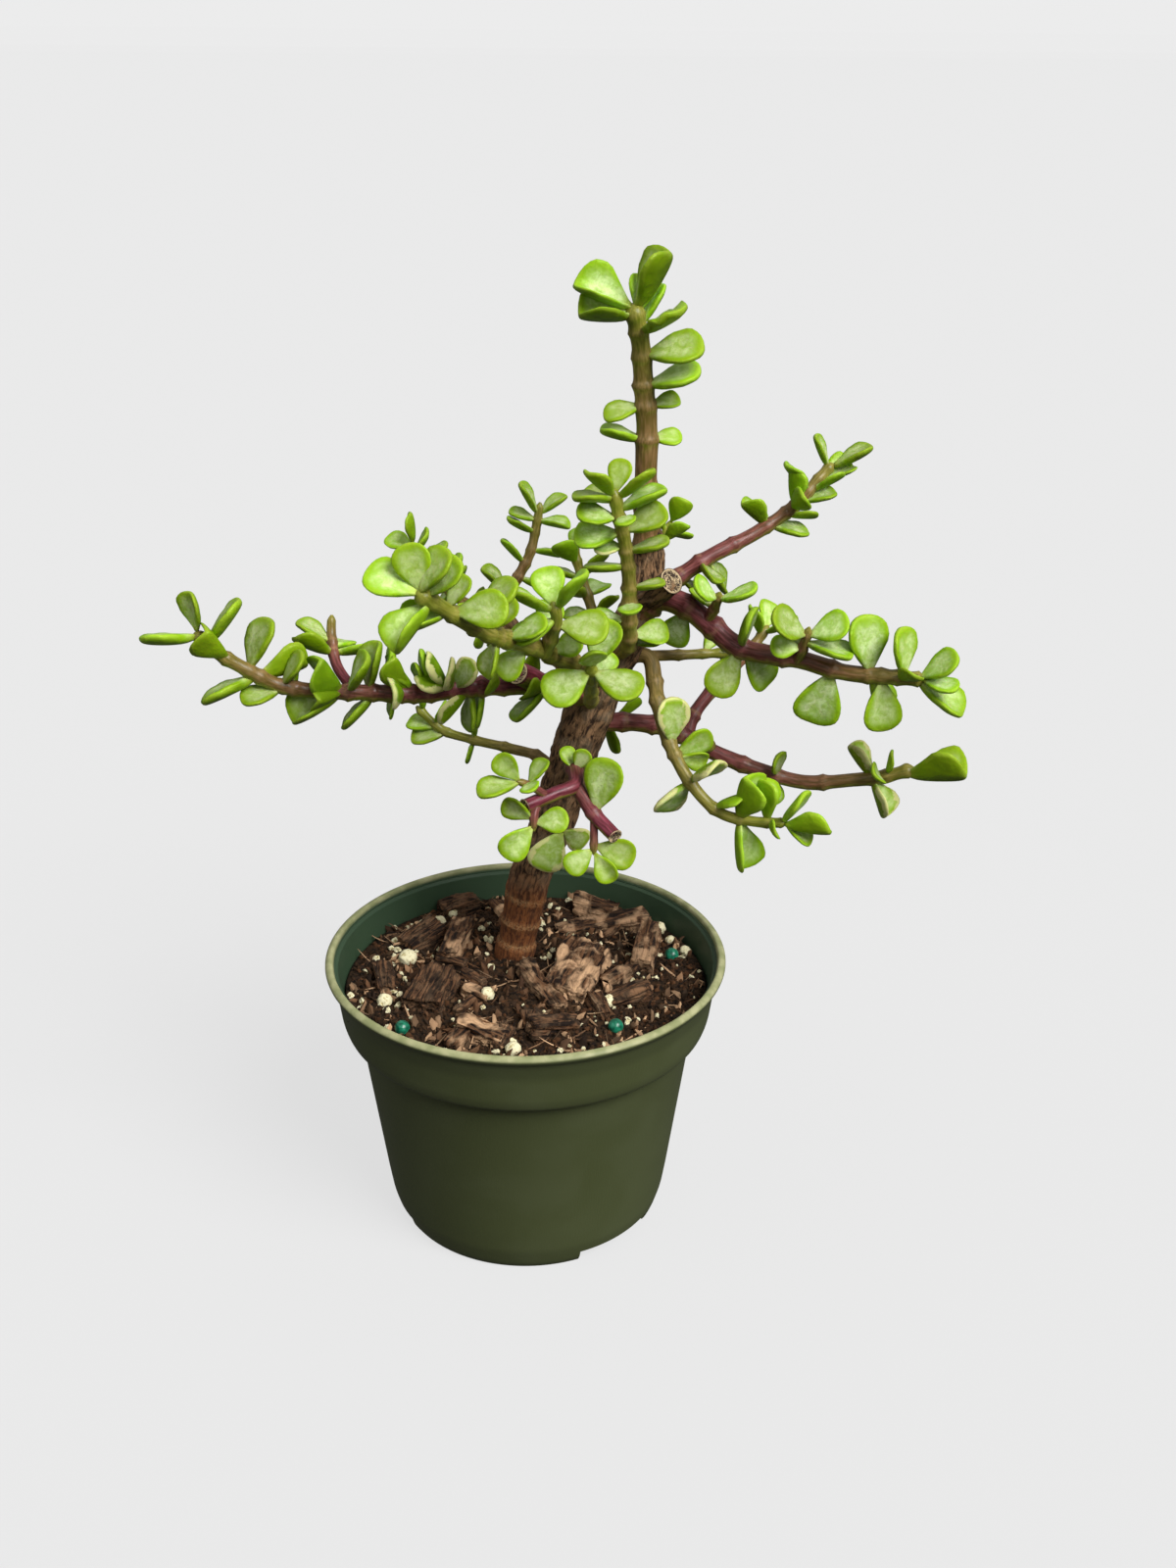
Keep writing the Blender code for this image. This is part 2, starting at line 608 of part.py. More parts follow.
def smooth_path(route, step):
    """Points about one step apart on a Catmull-Rom curve through the route, with their stations."""
    knots = np.array(route, float)
    knots = np.vstack([2 * knots[0] - knots[1], knots, 2 * knots[-1] - knots[-2]])
    fine = []
    for i in range(1, len(knots) - 2):
        a, b, c, d = knots[i - 1:i + 3]
        for t in np.linspace(0, 1, CURVE_STEPS, endpoint=False):
            fine.append(0.5 * (2 * b + (c - a) * t + (2 * a - 5 * b + 4 * c - d) * t * t
                               + (3 * b - a - 3 * c + d) * t ** 3))
    fine.append(knots[-2])
    fine = np.array(fine)
    along = np.concatenate([[0], np.cumsum(np.linalg.norm(np.diff(fine, axis=0), axis=1))])
    count = max(2, int(round(along[-1] / step)) + 1)
    stations = np.linspace(0, along[-1], count)
    return np.stack([np.interp(stations, along, fine[:, k]) for k in range(3)], 1), stations


def unit(vector):
    return vector / np.linalg.norm(vector)


def point_at(route, station):
    """Middle and direction of a route at a station."""
    points, stations = smooth_path(route, FINE_STEP)
    station = min(station, stations[-1])
    place, behind, ahead = [
        np.array([np.interp(s, stations, points[:, k]) for k in range(3)])
        for s in (station, station - 1.0, station + 1.0)
    ]
    return place, unit(ahead - behind)


def tube(name, route, radii, sides, start=0.0, end=None, step=RING_STEP):
    """A closed tube along a route with flat ends. Its radii are a function of the station's share."""
    length = smooth_path(route, FINE_STEP)[1][-1]
    end = length if end is None else end
    count = max(FEWEST_RINGS, int(round((end - start) / step)) + 1)
    points = []
    across = None
    for station in np.linspace(start, end, count):
        middle, ahead = point_at(route, station)
        if across is None:
            across = np.array((0.0, 0.0, 1.0)) if abs(ahead[2]) < 0.8 else np.array((0.0, -1.0, 0.0))
        across = unit(across - ahead * (across @ ahead))
        other = np.cross(ahead, across)
        radius = radii(station / length)
        for i in range(sides):
            angle = 2 * math.pi * i / sides
            points.append(middle + radius * (math.cos(angle) * across + math.sin(angle) * other))
    faces = [tuple(range(sides - 1, -1, -1)), tuple(range((count - 1) * sides, count * sides))]
    for k in range(count - 1):
        a = k * sides
        b = a + sides
        for i in range(sides):
            j = (i + 1) % sides
            faces.append((a + i, a + j, b + j))
            faces.append((a + i, b + j, b + i))
    return mesh_object(name, points, faces)


def stem_radii(stem):
    return lambda share: stem.base_radius + (stem.tip_radius - stem.base_radius) * share


def trunk_radii(grow=0.0):
    """Radius of the trunk at a share of its length."""
    route = [place for place, _ in TRUNK]
    steps = np.linalg.norm(np.diff(np.array(route, float), axis=0), axis=1)
    shares = np.concatenate([[0], np.cumsum(steps)]) / steps.sum()
    return lambda share: float(np.interp(share, shares, [radius for _, radius in TRUNK])) + grow


def make_trunk():
    route = [place for place, _ in TRUNK]
    body = tube("trunk", route, trunk_radii(), TRUNK_SIDES, step=TRUNK_STEP)
    stubs = [tube("stub", CUT_STUB, lambda share: CUT_STUB_RADIUS, STEM_SIDES + 1)]
    for name, stems in SPRAYS.items():
        if name == "leader_shoot":
            continue
        first = stems[0]
        stubs.append(tube("stub", first.route, stem_radii(first), STEM_SIDES, 0.0, first.stub))
    use_boolean(body, "UNION", stubs)
    body.data.materials.append(plain_material("jade_bark", "#6B4A36", 0.75))
    return body


Leaf = namedtuple("Leaf", "base axis face length")


def leaf_at(stem, station, bearing, lean, roll, length):
    """A leaf that starts inside the stem, leans forward and is rolled a little about its length."""
    middle, ahead = point_at(stem.route, station)
    rise = np.array(stem.route[-1], float) - np.array(stem.route[0], float)
    upright = abs(unit(rise)[2]) > UPRIGHT
    mark = np.array((0.0, -1.0, 0.0)) if upright else np.array((0.0, 0.0, 1.0))
    across = unit(mark - ahead * (mark @ ahead))
    other = np.cross(ahead, across)
    turn, tip = math.radians(bearing), math.radians(lean)
    out = math.cos(turn) * across + math.sin(turn) * other
    axis = math.cos(tip) * out + math.sin(tip) * ahead
    facing_tip = math.cos(tip) * ahead - math.sin(tip) * out
    to_light = LIGHT - axis * (LIGHT @ axis)
    face = facing_tip * (1 - stem.turn) + to_light * stem.turn
    face = unit(face - axis * (face @ axis))
    spin = math.radians(roll)
    face = math.cos(spin) * face + math.sin(spin) * np.cross(axis, face)
    share = station / smooth_path(stem.route, FINE_STEP)[1][-1]
    sunk = stem_radii(stem)(share) * (1 - LEAF_SUNK)
    return Leaf(middle + out * sunk, axis, face, length + stem_radii(stem)(share) * LEAF_SUNK)


def leaf_marks(leaf):
    """Points spread over a blade, by which its room is judged."""
    side = np.cross(leaf.axis, leaf.face)
    marks = [leaf.base + leaf.axis * leaf.length]
    for along, half in LEAF_OUTLINE[1:]:
        for share in (-1.0, 0.0, 1.0):
            reach = share * half * LEAF_HALF_WIDTH * leaf.length
            marks.append(leaf.base + leaf.axis * leaf.length * along + side * reach)
    return np.array(marks)


def room(marks, spots, radii):
    """Smallest distance from the marks to other spots, less the spots' radii."""
    if not len(spots):
        return 99.0
    gaps = np.linalg.norm(marks[:, None] - spots[None], axis=2) - radii[None]
    return float(gaps.min())


def grow_leaves():
    """Every spray's leaves, each turned or tipped by as little as clears the other sprays."""
    draw = np.random.default_rng(DRAW_SEED)
    stem_spots, stem_radius, stem_owner = [], [], []
    woody = [("trunk", [place for place, _ in TRUNK], trunk_radii())]
    woody.append(("trunk", CUT_STUB, lambda share: CUT_STUB_RADIUS))
    for name, stems in SPRAYS.items():
        woody += [(name, stem.route, stem_radii(stem)) for stem in stems]
    for owner, route, radii in woody:
        points, stations = smooth_path(route, STEM_SPOT_STEP)
        stem_spots += list(points)
        stem_radius += [radii(station / stations[-1]) for station in stations]
        stem_owner += [owner] * len(points)
    stem_spots, stem_radius = np.array(stem_spots), np.array(stem_radius)
    stem_owner = np.array(stem_owner)
    leaves = {name: [] for name in SPRAYS}
    marks_of = {name: [] for name in SPRAYS}
    tries = [(0, 0)] + [(turn, tip) for turn in TRIED_TURNS for tip in TRIED_TIPS]
    for name, stems in SPRAYS.items():
        others = stem_owner != name
        for stem in stems:
            for station, bearing, lean, length in stem.leaves:
                bearing += draw.uniform(-LEAF_WOBBLE, LEAF_WOBBLE)
                lean += draw.uniform(-LEAF_WOBBLE, LEAF_WOBBLE)
                roll = draw.uniform(-LEAF_ROLL, LEAF_ROLL)
                best = None
                for turn, tip in tries:
                    leaf = leaf_at(stem, station, bearing + turn, lean + tip, roll, length)
                    marks = leaf_marks(leaf)
                    gap = room(marks, stem_spots[others], stem_radius[others]) - STEM_ROOM
                    for other, placed in marks_of.items():
                        if placed:
                            spots = np.concatenate(placed)
                            wanted = LEAF_ROOM if other != name else SISTER_ROOM
                            gap = min(gap, room(marks, spots, np.full(len(spots), wanted)))
                    if best is None or gap > best[0]:
                        best = (gap, leaf, marks)
                    if gap >= 0:
                        break
                if best[0] < -LEAST_ROOM:
                    continue
                leaves[name].append(best[1])
                marks_of[name].append(best[2])
    return leaves


def leaf_solid(leaf):
    """A thick spoon-shaped blade: an outline with a raised ridge on each face."""
    side = np.cross(leaf.axis, leaf.face)
    cup = LEAF_CUP * leaf.length
    thick = LEAF_THICKNESS * leaf.length

    def place(along, across, up):
        reach = across * LEAF_HALF_WIDTH * leaf.length
        return leaf.base + leaf.axis * leaf.length * along + side * reach + leaf.face * up

    left = [place(along, -half, cup * half) for along, half in LEAF_OUTLINE]
    right = [place(along, half, cup * half) for along, half in LEAF_OUTLINE]
    tip = place(1.0, 0.0, cup)
    upper = [place(along, 0.0, thick * LEAF_UPPER_SHARE) for along in LEAF_RIDGE]
    lower = [place(along, 0.0, thick * (LEAF_UPPER_SHARE - 1)) for along in LEAF_RIDGE]
    points = left + right + [tip] + upper + lower
    rows = len(LEAF_OUTLINE)
    end, near, far = 2 * rows, 2 * rows + 1, 2 * rows + 2
    ring = list(range(rows)) + [end] + list(range(2 * rows - 1, rows - 1, -1))
    faces = []
    for k in range(len(ring)):
        a, b = ring[k], ring[(k + 1) % len(ring)]
        reach = max(LEAF_OUTLINE[i % rows][0] if i != end else 1.0 for i in (a, b))
        crest = far if reach > 0.7 else near
        faces.append((b, a, crest))
        faces.append((a, b, crest + 2))
    for edge in (2, rows + 2):
        lean = (edge, near, far) if edge == 2 else (edge, far, near)
        faces.append(lean)
        faces.append((lean[0], lean[2] + 2, lean[1] + 2))
    return mesh_object("leaf", points, faces)


def make_spray(name, stems, leaves):
    first = stems[0]
    body = tube(name, first.route, stem_radii(first), STEM_SIDES, first.stub + FIT_GAP)
    pieces = [tube("twig", stem.route, stem_radii(stem), STEM_SIDES) for stem in stems[1:]]
    pieces += [leaf_solid(leaf) for leaf in leaves]
    use_boolean(body, "UNION", pieces)
    body.data.materials.append(plain_material(name + "_leaf_green", "#6FA042", 0.35))
    return body


def main():
    clear_scene()
    make_pot()
    hole = tube("hole", [place for place, _ in TRUNK], trunk_radii(SOIL_HOLE), TRUNK_SIDES)
    make_potting_mix(hole)
    make_trunk()
    leaves = grow_leaves()
    for name, stems in SPRAYS.items():
        make_spray(name, stems, leaves[name])


main()
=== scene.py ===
"""Dresses the dwarf jade bonsai and its nursery pot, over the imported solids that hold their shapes."""

import math
from collections import namedtuple

import bmesh
import bpy
import numpy as np
from mathutils import Matrix, Vector, noise


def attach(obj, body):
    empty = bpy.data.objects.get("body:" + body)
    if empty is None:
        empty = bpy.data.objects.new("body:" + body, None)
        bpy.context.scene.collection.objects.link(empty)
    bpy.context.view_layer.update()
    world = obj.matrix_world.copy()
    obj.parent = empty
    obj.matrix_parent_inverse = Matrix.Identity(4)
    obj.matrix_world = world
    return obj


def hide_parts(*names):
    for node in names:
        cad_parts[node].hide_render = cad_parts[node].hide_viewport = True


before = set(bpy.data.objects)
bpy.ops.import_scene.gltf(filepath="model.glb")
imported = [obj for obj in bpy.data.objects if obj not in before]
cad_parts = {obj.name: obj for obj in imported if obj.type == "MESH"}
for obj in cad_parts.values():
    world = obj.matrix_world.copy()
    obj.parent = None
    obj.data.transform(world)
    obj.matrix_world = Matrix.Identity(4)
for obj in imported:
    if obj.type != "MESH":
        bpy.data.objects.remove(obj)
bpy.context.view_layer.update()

bl_info = {
    "name": "Dwarf jade bonsai",
    "version": (1, 0, 0),
    "blender": (4, 5, 0),
    "location": "3D View > Sidebar > Jade",
    "description": "Builds a small dwarf jade bonsai in a nursery pot, piece by piece",
    "category": "Add Mesh",
}

# Every table of places and sizes below is in millimetres, and MM turns them to metres once
MM = 0.001
BODY = "root"

# Camera, fitted to the ellipses of the pot's rim and foot
CAMERA_PLACE = (0.0164, -0.4005, 0.3030)
CAMERA_PITCH = 23.84
CAMERA_ROLL = 0.41
CAMERA_LENS = 38.9
CAMERA_SENSOR = 36.0

# Stage: the ways to the two lights, and how far the paper's floor and its sweep reach, in metres
KEY_WAY = (0.50, -0.52, 0.69)
FILL_WAY = (-0.75, -0.45, 0.48)
FLOOR_REACH = 30.0
SWEEP = 8.0
SWEEP_FROM = 0.15
SWEEP_ROWS = 10

# Pot, a thin moulded shell with a tall collar and three drain notches in the edge of its foot
RIM_RADIUS = 54.0
POT_HEIGHT = 77.0
FOOT_RADIUS = 36.0
WALL = 1.3
LIP_INNER_RADIUS = 51.5
LIP_LEDGE = 75.5
POT_OUTSIDE = [
    (53.0, POT_HEIGHT), (RIM_RADIUS, 76.0), (53.5, 75.0), (52.5, 74.0), (51.0, 69.0), (50.0, 61.5),
    (49.0, 58.5), (45.5, 57.0), (39.5, 13.0), (38.5, 6.5), (37.0, 1.5), (FOOT_RADIUS, 0.0),
]
POT_INSIDE = [(36.5, 3.0), (38.0, 13.0), (44.0, 57.0), (48.5, 61.5), (49.5, 69.0), (50.5, 74.5)]
NOTCH_MIDDLES = (44.0, 164.0, 284.0)
NOTCH_SPREAD = 40.0
NOTCH_HEIGHT = 3.6
NOTCH_DEPTH = 7.0
NOTCH_STEPS = (-1.0, -0.33, 0.33, 1.0)
DRAIN_RADIUS = 2.2
DRAIN_SIDES = 24
CAVITY_FOOT = 35.0

# Clearance between pieces, and how far a cutter reaches past the face that it cuts
FIT_GAP = 0.3
CUT_OVER = 4.0

# Potting mix, a low mound of bark and peat with perlite and coated fertiliser prills
SOIL_EDGE_HEIGHT = 67.5
SOIL_MOUND = 2.0
SOIL_MOUND_REACH = 50.0
SOIL_RINGS = 4
SOIL_WALL_HEIGHTS = (67.5, 62.0, 57.0, 13.0, 3.0)
SOIL_SLACK = 0.2
SOIL_SIDES = 22
SMALL_CHIPS = 18
SMALL_CHIP_LENGTH = (7.0, 11.0)
SMALL_CHIP_WIDTH = 0.45
SMALL_CHIP_TILT = 15.0
CHIP_REACH = 41.0
CHIP_TAPER = 0.68
CHIP_PROUD = 0.2
GRAIN_PROUD = 0.2
COLLAR = (-4.0, 13.0)
COLLAR_ROOM = 13.0

# Bark chips: middle x and y, length, width, thickness, heading in degrees, tilt in degrees
BARK_CHIPS = [
    (14, -1, 27, 14, 8, 70, 8), (-25, -12, 20, 12, 9, 75, 12), (22, 27, 30, 8, 6, 12, 6),
    (33, 11, 20, 7, 10, 80, 10), (-30, 18, 15, 10, 7, 40, 14), (-20, 13, 22, 6, 10, 78, 8),
    (-21, 38, 12, 7, 6, 20, 10), (4, -9, 24, 5, 5, 118, 6), (-10, -31, 15, 7, 6, 160, 8),
    (19, 38, 15, 6, 6, 170, 10), (8, -28, 14, 6, 5, 200, 10), (28, -12, 13, 6, 5, 20, 12),
    (-38, -3, 13, 6, 5, 100, 10),
]
PERLITE = [
    (-23, 36, 4), (-26, 31, 3), (-27, 22, 3), (-37, -14, 4), (-10, -12, 4), (22, -15, 4),
    (-2, -37, 4), (40, 21, 3), (37, 28, 4), (44, 15, 3), (-33, 8, 5), (-6, 26, 3),
]
PRILLS = [(-31, -27), (40, 12), (24, -26), (33, 31)]
PRILL_SIZE = 4.0

# Trunk: middle of each section and its radius, from the root end in the mix to the bare top
TRUNK = [
    ((-6, 14, 30), 3.0), ((-5, 13, 52), 5.4), ((-4, 13, 66), 6.2), ((-3, 13, 73), 5.8),
    ((-1, 13, 84), 5.7), ((2, 13, 97), 5.6), ((7, 11, 110), 5.7), ((11, 10, 124), 6.1),
    ((15, 8, 139), 6.3), ((20, 7, 152), 5.9), ((26, 6, 165), 5.2), ((30, 6, 176), 4.2),
    ((31, 8, 187), 3.2), ((30, 8, 198), 3.1),
]
FINE_STEP = 0.5
CURVE_STEPS = 12

# Leaves, thick and spoon-shaped, in opposite pairs that turn a quarter from one pair to the next
LEAF_HALF_WIDTH = 0.39
LEAF_THICKNESS = 0.20
LEAF_UPPER_SHARE = 0.35
LEAF_OUTLINE = ((0.30, 0.60), (0.62, 1.0), (0.87, 0.76))
LEAF_SUNK = 0.65
LIGHT = np.array((0.0, -0.60, 0.80))
UPRIGHT = 0.72
LEAF_WOBBLE = 3.0
LEAF_ROLL = 25.0
DRAW_SEED = 7

# Room kept round a leaf: from another spray's leaves, from its own spray's leaves and from other stems,
# and the turns and tips in degrees that are tried in order until a leaf has it
LEAF_ROOM = 2.7
SISTER_ROOM = 1.2
STEM_ROOM = 1.3
LEAST_ROOM = 0.8
STEM_SPOT_STEP = 1.5
TRIED_TURNS = (12, -12, 24, -24, 36, -36, 50, -50)
TRIED_TIPS = (0, 15, -15)

# A stem: its route, its radius at the base and the tip, the length left on the trunk as a stub, how
# far its blades turn from the stem's tip to the light, and its leaves. A leaf is its station, its
# bearing round the stem, how far it leans towards the stem's tip and its length. Bearings run from the
# upper side of a stem, or from the front of an upright one, and leaves of one pair stand half a turn
# apart.
Stem = namedtuple("Stem", "route base_radius tip_radius stub turn leaves")

SPRAYS = {
    "leader_shoot": [Stem(
        [(31, 8, 187), (30, 8, 198), (30, 8, 216), (29, 8, 227), (28, 7, 237), (26, 5, 246)],
        3.1, 2.1, 11, 0.5,
        [(27, 95, 0, 6), (27, 275, 10, 9), (35, 100, -5, 6), (35, 280, -5, 8), (40, 75, 12, 12),
         (47, 72, 5, 13), (53, 55, 20, 12), (54, 140, 35, 10), (57, 290, 18, 12), (57, 130, 5, 9),
         (59, 95, 42, 13), (59, 272, 34, 13)],
    )],
    "leader_side_shoot": [Stem(
        [(31, 8, 184), (34, 13, 186), (36, 17, 189), (37, 18, 191)],
        1.4, 0.9, 6, 0.3,
        [(8, 60, 30, 7), (8, 240, 30, 5), (11, 150, 30, 7), (11, 330, 20, 7), (14, 60, 45, 7)],
    )],
    "centre_shoot": [Stem(
        [(23, 7, 159), (26, -3, 165), (26, -8, 172), (26, -10, 182), (25, -12, 192),
         (23, -14, 201), (22, -15, 207)],
        2.3, 1.4, 10, 0.15,
        [(13, 110, 20, 7), (17, 95, 0, 8), (22, 275, 5, 7), (27, 0, 10, 7), (31, 85, 10, 7),
         (37, 275, 5, 9), (41, 85, 5, 9), (42, 265, 5, 6), (46, 95, 8, 10), (46, 275, 8, 10),
         (50, 285, 25, 9), (50, 15, 15, 6), (52, 100, 12, 11), (54, 240, 10, 8), (55, 275, 5, 9),
         (55, 90, 32, 10), (56, 310, 50, 9), (56, 130, 60, 7)],
    )],
    "right_upper_branch": [Stem(
        [(28, 6, 172), (35, 9, 176), (46, 12, 183), (58, 17, 188), (68, 21, 194), (74, 24, 200),
         (78, 26, 204)],
        2.4, 1.3, 10, 0.25,
        [(14, 180, 10, 5), (20, 105, -5, 8), (22, 190, 10, 10), (40, 0, -25, 8), (41, 300, 10, 6),
         (41, 170, 45, 9), (46, 165, 50, 7), (48, 60, 10, 8), (49, 0, 5, 9), (51, 150, 60, 8),
         (54, 350, 0, 9), (55, 120, 60, 8), (58, 165, 60, 9), (62, 350, 15, 8), (63, 130, 65, 10)],
    )],
    "right_main_branch": [Stem(
        [(28, 6, 170), (34, 3, 175), (40, 1, 174), (46, -1, 170), (54, -5, 165), (68, -10, 164),
         (78, -13, 162), (88, -16, 162), (97, -18, 162)],
        3.3, 1.7, 13, 0.75,
        [(16, 185, 0, 9), (33, 25, 0, 11), (33, 150, -15, 11), (34, 200, 35, 10), (44, 10, 20, 6),
         (56, 180, -10, 13), (65, 0, -10, 13), (66, 205, 10, 14), (68, 172, 5, 12),
         (72, 60, 30, 7), (73, 0, -5, 11), (77, 20, 50, 10), (77, 185, 55, 12), (78, 90, 60, 8)],
    ), Stem(
        [(45, -1, 170), (47, -4, 175), (48, -7, 180)],
        1.5, 1.0, 0, 0.5,
        [(10, 75, 40, 10), (10, 290, 45, 9), (6, 200, 10, 7)],
    ), Stem(
        [(67, -10, 163), (68, -13, 168), (69, -15, 174)],
        1.5, 1.0, 0, 0.6,
        [(10, 290, 30, 11), (10, 80, 40, 10), (8, 65, 5, 11), (6, 270, 0, 7)],
    )],
    "hanging_branch": [Stem(
        [(22, 7, 158), (31, 6, 159), (33, 2, 154), (34, -4, 149), (37, -10, 141), (42, -15, 133),
         (49, -19, 127), (57, -22, 126), (65, -25, 127)],
        2.2, 1.2, 8, 0.25,
        [(34, 0, -50, 11), (37, 300, -10, 9), (38, 280, 20, 7), (45, 0, 0, 10), (45, 175, 0, 11),
         (54, 0, 25, 9), (61, 0, 0, 12), (61, 180, 5, 12), (68, 350, -5, 10), (69, 90, 20, 6),
         (72, 10, 45, 10), (73, 95, 80, 11), (73, 190, 50, 7)],
    ), Stem(
        [(31, 6, 159), (41, 10, 158), (53, 12, 158)],
        1.5, 1.1, 0, 0.5,
        [(16, 330, 30, 6), (20, 20, 50, 8), (20, 200, 40, 6)],
    )],
    "lower_right_branch": [Stem(
        [(16, 8, 140), (29, 8, 140), (38, 8, 138), (47, 5, 134), (59, 2, 130), (72, 0, 127),
         (84, -3, 129), (92, -5, 131), (99, -7, 134)],
        2.5, 1.6, 9, 0.35,
        [(52, 30, -10, 7), (52, 170, 20, 6), (77, 0, -25, 9), (77, 165, 15, 9), (79, 60, 0, 7),
         (81, 20, 30, 6), (86, 150, 72, 14)],
    ), Stem(
        [(42, 8, 136), (44, 12, 141), (51, 18, 148), (58, 24, 153), (64, 28, 160)],
        1.9, 1.2, 0, 0.4,
        [(24, 0, 10, 8), (29, 270, 30, 8), (33, 180, 10, 8), (36, 0, 20, 8), (37, 90, 40, 9),
         (38, 270, 60, 8)],
    ), Stem(
        [(45, 6, 134), (47, 2, 136), (48, 0, 138)],
        1.9, 1.7, 0, 0,
        [],
    )],
    "left_main_branch": [Stem(
        [(18, 6, 148), (6, -3, 154), (-1, -5, 155), (-13, -7, 155), (-25, -9, 154),
         (-37, -11, 155), (-48, -13, 156), (-58, -15, 158), (-66, -17, 163), (-73, -18, 168),
         (-77, -19, 173)],
        2.8, 1.5, 9, 0.25,
        [(17, 200, 45, 10), (18, 250, 30, 7), (28, 0, -20, 7), (30, 300, 0, 9), (33, 170, 10, 9),
         (36, 185, 0, 9), (37, 215, 45, 9), (40, 335, -40, 8), (41, 320, 0, 9), (42, 350, 15, 9),
         (41, 330, 55, 8), (46, 30, 0, 9), (47, 350, 0, 6), (50, 10, 40, 8), (52, 345, 15, 9),
         (53, 300, 0, 9), (56, 20, 5, 11), (55, 170, 0, 5), (60, 180, 40, 10), (61, 10, -5, 11),
         (66, 335, -25, 11), (68, 330, 30, 11), (68, 275, 30, 8), (68, 185, 55, 12),
         (79, 30, 0, 6), (82, 340, -5, 9), (82, 200, 50, 9), (88, 25, -50, 12), (89, 180, 35, 13),
         (91, 15, 10, 12), (97, 310, 45, 10), (103, 0, 12, 12), (106, 185, 38, 12), (107, 0, 55, 9)],
    ), Stem(
        [(4, -4, 155), (1, -7, 158), (-1, -10, 160)],
        3.0, 2.9, 0, 0,
        [],
    ), Stem(
        [(-40, -11, 154), (-46, -4, 159), (-48, 2, 165), (-48, 4, 170)],
        1.5, 1.1, 0, 0.4,
        [(18, 280, 40, 9), (17, 150, 30, 9), (15, 300, 5, 10), (15, 75, 15, 10)],
    )],
    "front_left_branch": [Stem(
        [(20, 6, 153), (13, -12, 163), (4, -28, 173), (-6, -42, 181), (-15, -52, 190),
         (-20, -57, 195)],
        2.7, 1.7, 9, 0.35,
        [(36, 300, 0, 7), (46, 150, 0, 8), (55, 300, -10, 9), (58, 170, -10, 8), (62, 340, 0, 8),
         (67, 330, -10, 12), (75, 300, -25, 11), (76, 150, 30, 9), (77, 350, 0, 7),
         (82, 180, 20, 12), (84, 330, 5, 10), (85, 20, 40, 10), (86, 90, 35, 11), (86, 0, 10, 10)],
    ), Stem(
        [(6, -26, 171), (8, -30, 177), (9, -33, 182), (8, -34, 186)],
        1.9, 1.2, 0, 0.3,
        [(6, 200, 10, 8), (11, 85, 15, 11), (13, 290, 5, 10), (16, 290, 42, 11), (16, 80, 40, 11),
         (16, 180, 40, 9)],
    )],
    "front_rosette": [Stem(
        [(17, 7, 146), (17, -8, 153), (17, -20, 162), (17, -27, 168)],
        2.0, 1.3, 9, 0.35,
        [(33, 320, 0, 7), (38, 240, 5, 12), (38, 115, 5, 12), (40, 345, 15, 11), (40, 330, 70, 8)],
    )],
    "back_left_branch": [Stem(
        [(19, 8, 150), (8, 22, 152), (-2, 34, 154), (-13, 42, 158), (-23, 47, 164), (-33, 52, 175)],
        2.2, 1.2, 9, 0.3,
        [(28, 0, 0, 8), (28, 180, 0, 8), (36, 90, 0, 8), (36, 270, 0, 8), (46, 0, 0, 8),
         (46, 180, 0, 8), (53, 90, 0, 8), (53, 270, 0, 8), (59, 350, 0, 8), (59, 170, 10, 7),
         (63, 0, 0, 9), (71, 0, -10, 8), (74, 340, 0, 8), (75, 170, 55, 8), (76, 0, 40, 8)],
    ), Stem(
        [(-3, 35, 154), (-6, 40, 162), (0, 44, 174), (2, 46, 182), (3, 47, 188)],
        1.7, 1.1, 0, 0.2,
        [(13, 270, 20, 9), (18, 90, 5, 8), (22, 275, 20, 8), (26, 90, 10, 7), (31, 300, 10, 8),
         (34, 80, 5, 8), (34, 280, 10, 7), (36, 300, 50, 9), (36, 110, 45, 8)],
    )],
    "back_centre_shoot": [Stem(
        [(23, 7, 157), (19, 17, 162), (16, 21, 170), (13, 24, 179), (12, 25, 184)],
        1.6, 1.1, 8, 0.3,
        [(17, 75, 10, 7), (17, 255, 10, 7), (22, 330, 15, 9), (22, 150, 15, 8), (27, 75, 25, 8),
         (27, 255, 25, 8), (31, 340, 35, 8), (34, 160, 40, 7), (34, 80, 50, 7)],
    )],
    "lower_left_twig": [Stem(
        [(10, 10, 121), (4, 19, 125), (-5, 26, 125), (-16, 30, 126), (-24, 32, 128), (-31, 34, 134)],
        1.6, 1.1, 8, 0.4,
        [(34, 0, 0, 8), (34, 180, 10, 6), (42, 200, 55, 9), (45, 170, 55, 8), (46, 350, 10, 7),
         (51, 0, 30, 7)],
    )],
    "low_front_fork": [Stem(
        [(12, 9, 127), (13, -4, 131), (13, -10, 130), (8, -13, 129), (1, -16, 127)],
        1.9, 1.8, 8, 0.6,
        [(12, 25, 0, 5), (13, 335, 10, 5)],
    ), Stem(
        [(13, -9, 130), (18, -14, 124), (23, -18, 120)],
        1.9, 1.8, 0, 0.8,
        [(9, 335, -30, 13)],
    ), Stem(
        [(6, -14, 129), (2, -17, 133), (-1, -19, 135)],
        1.1, 0.9, 0, 0.6,
        [(7, 0, -10, 7), (8, 270, 20, 6), (10, 40, 50, 8), (10, 150, 50, 10)],
    ), Stem(
        [(4, -15, 127), (3, -17, 125), (3, -18, 121)],
        1.1, 0.9, 0, 0.6,
        [(4, 90, -30, 8), (5, 280, -10, 8), (6, 80, 40, 10)],
    ), Stem(
        [(18, -14, 124), (18, -16, 118), (18, -17, 114)],
        1.1, 0.9, 0, 0.6,
        [(8, 275, 15, 10), (9, 80, 40, 8), (10, 285, 50, 8)],
    )],
    "low_trunk_sprout": [Stem(
        [(8, 11, 113), (9, -1, 116), (10, -6, 115)],
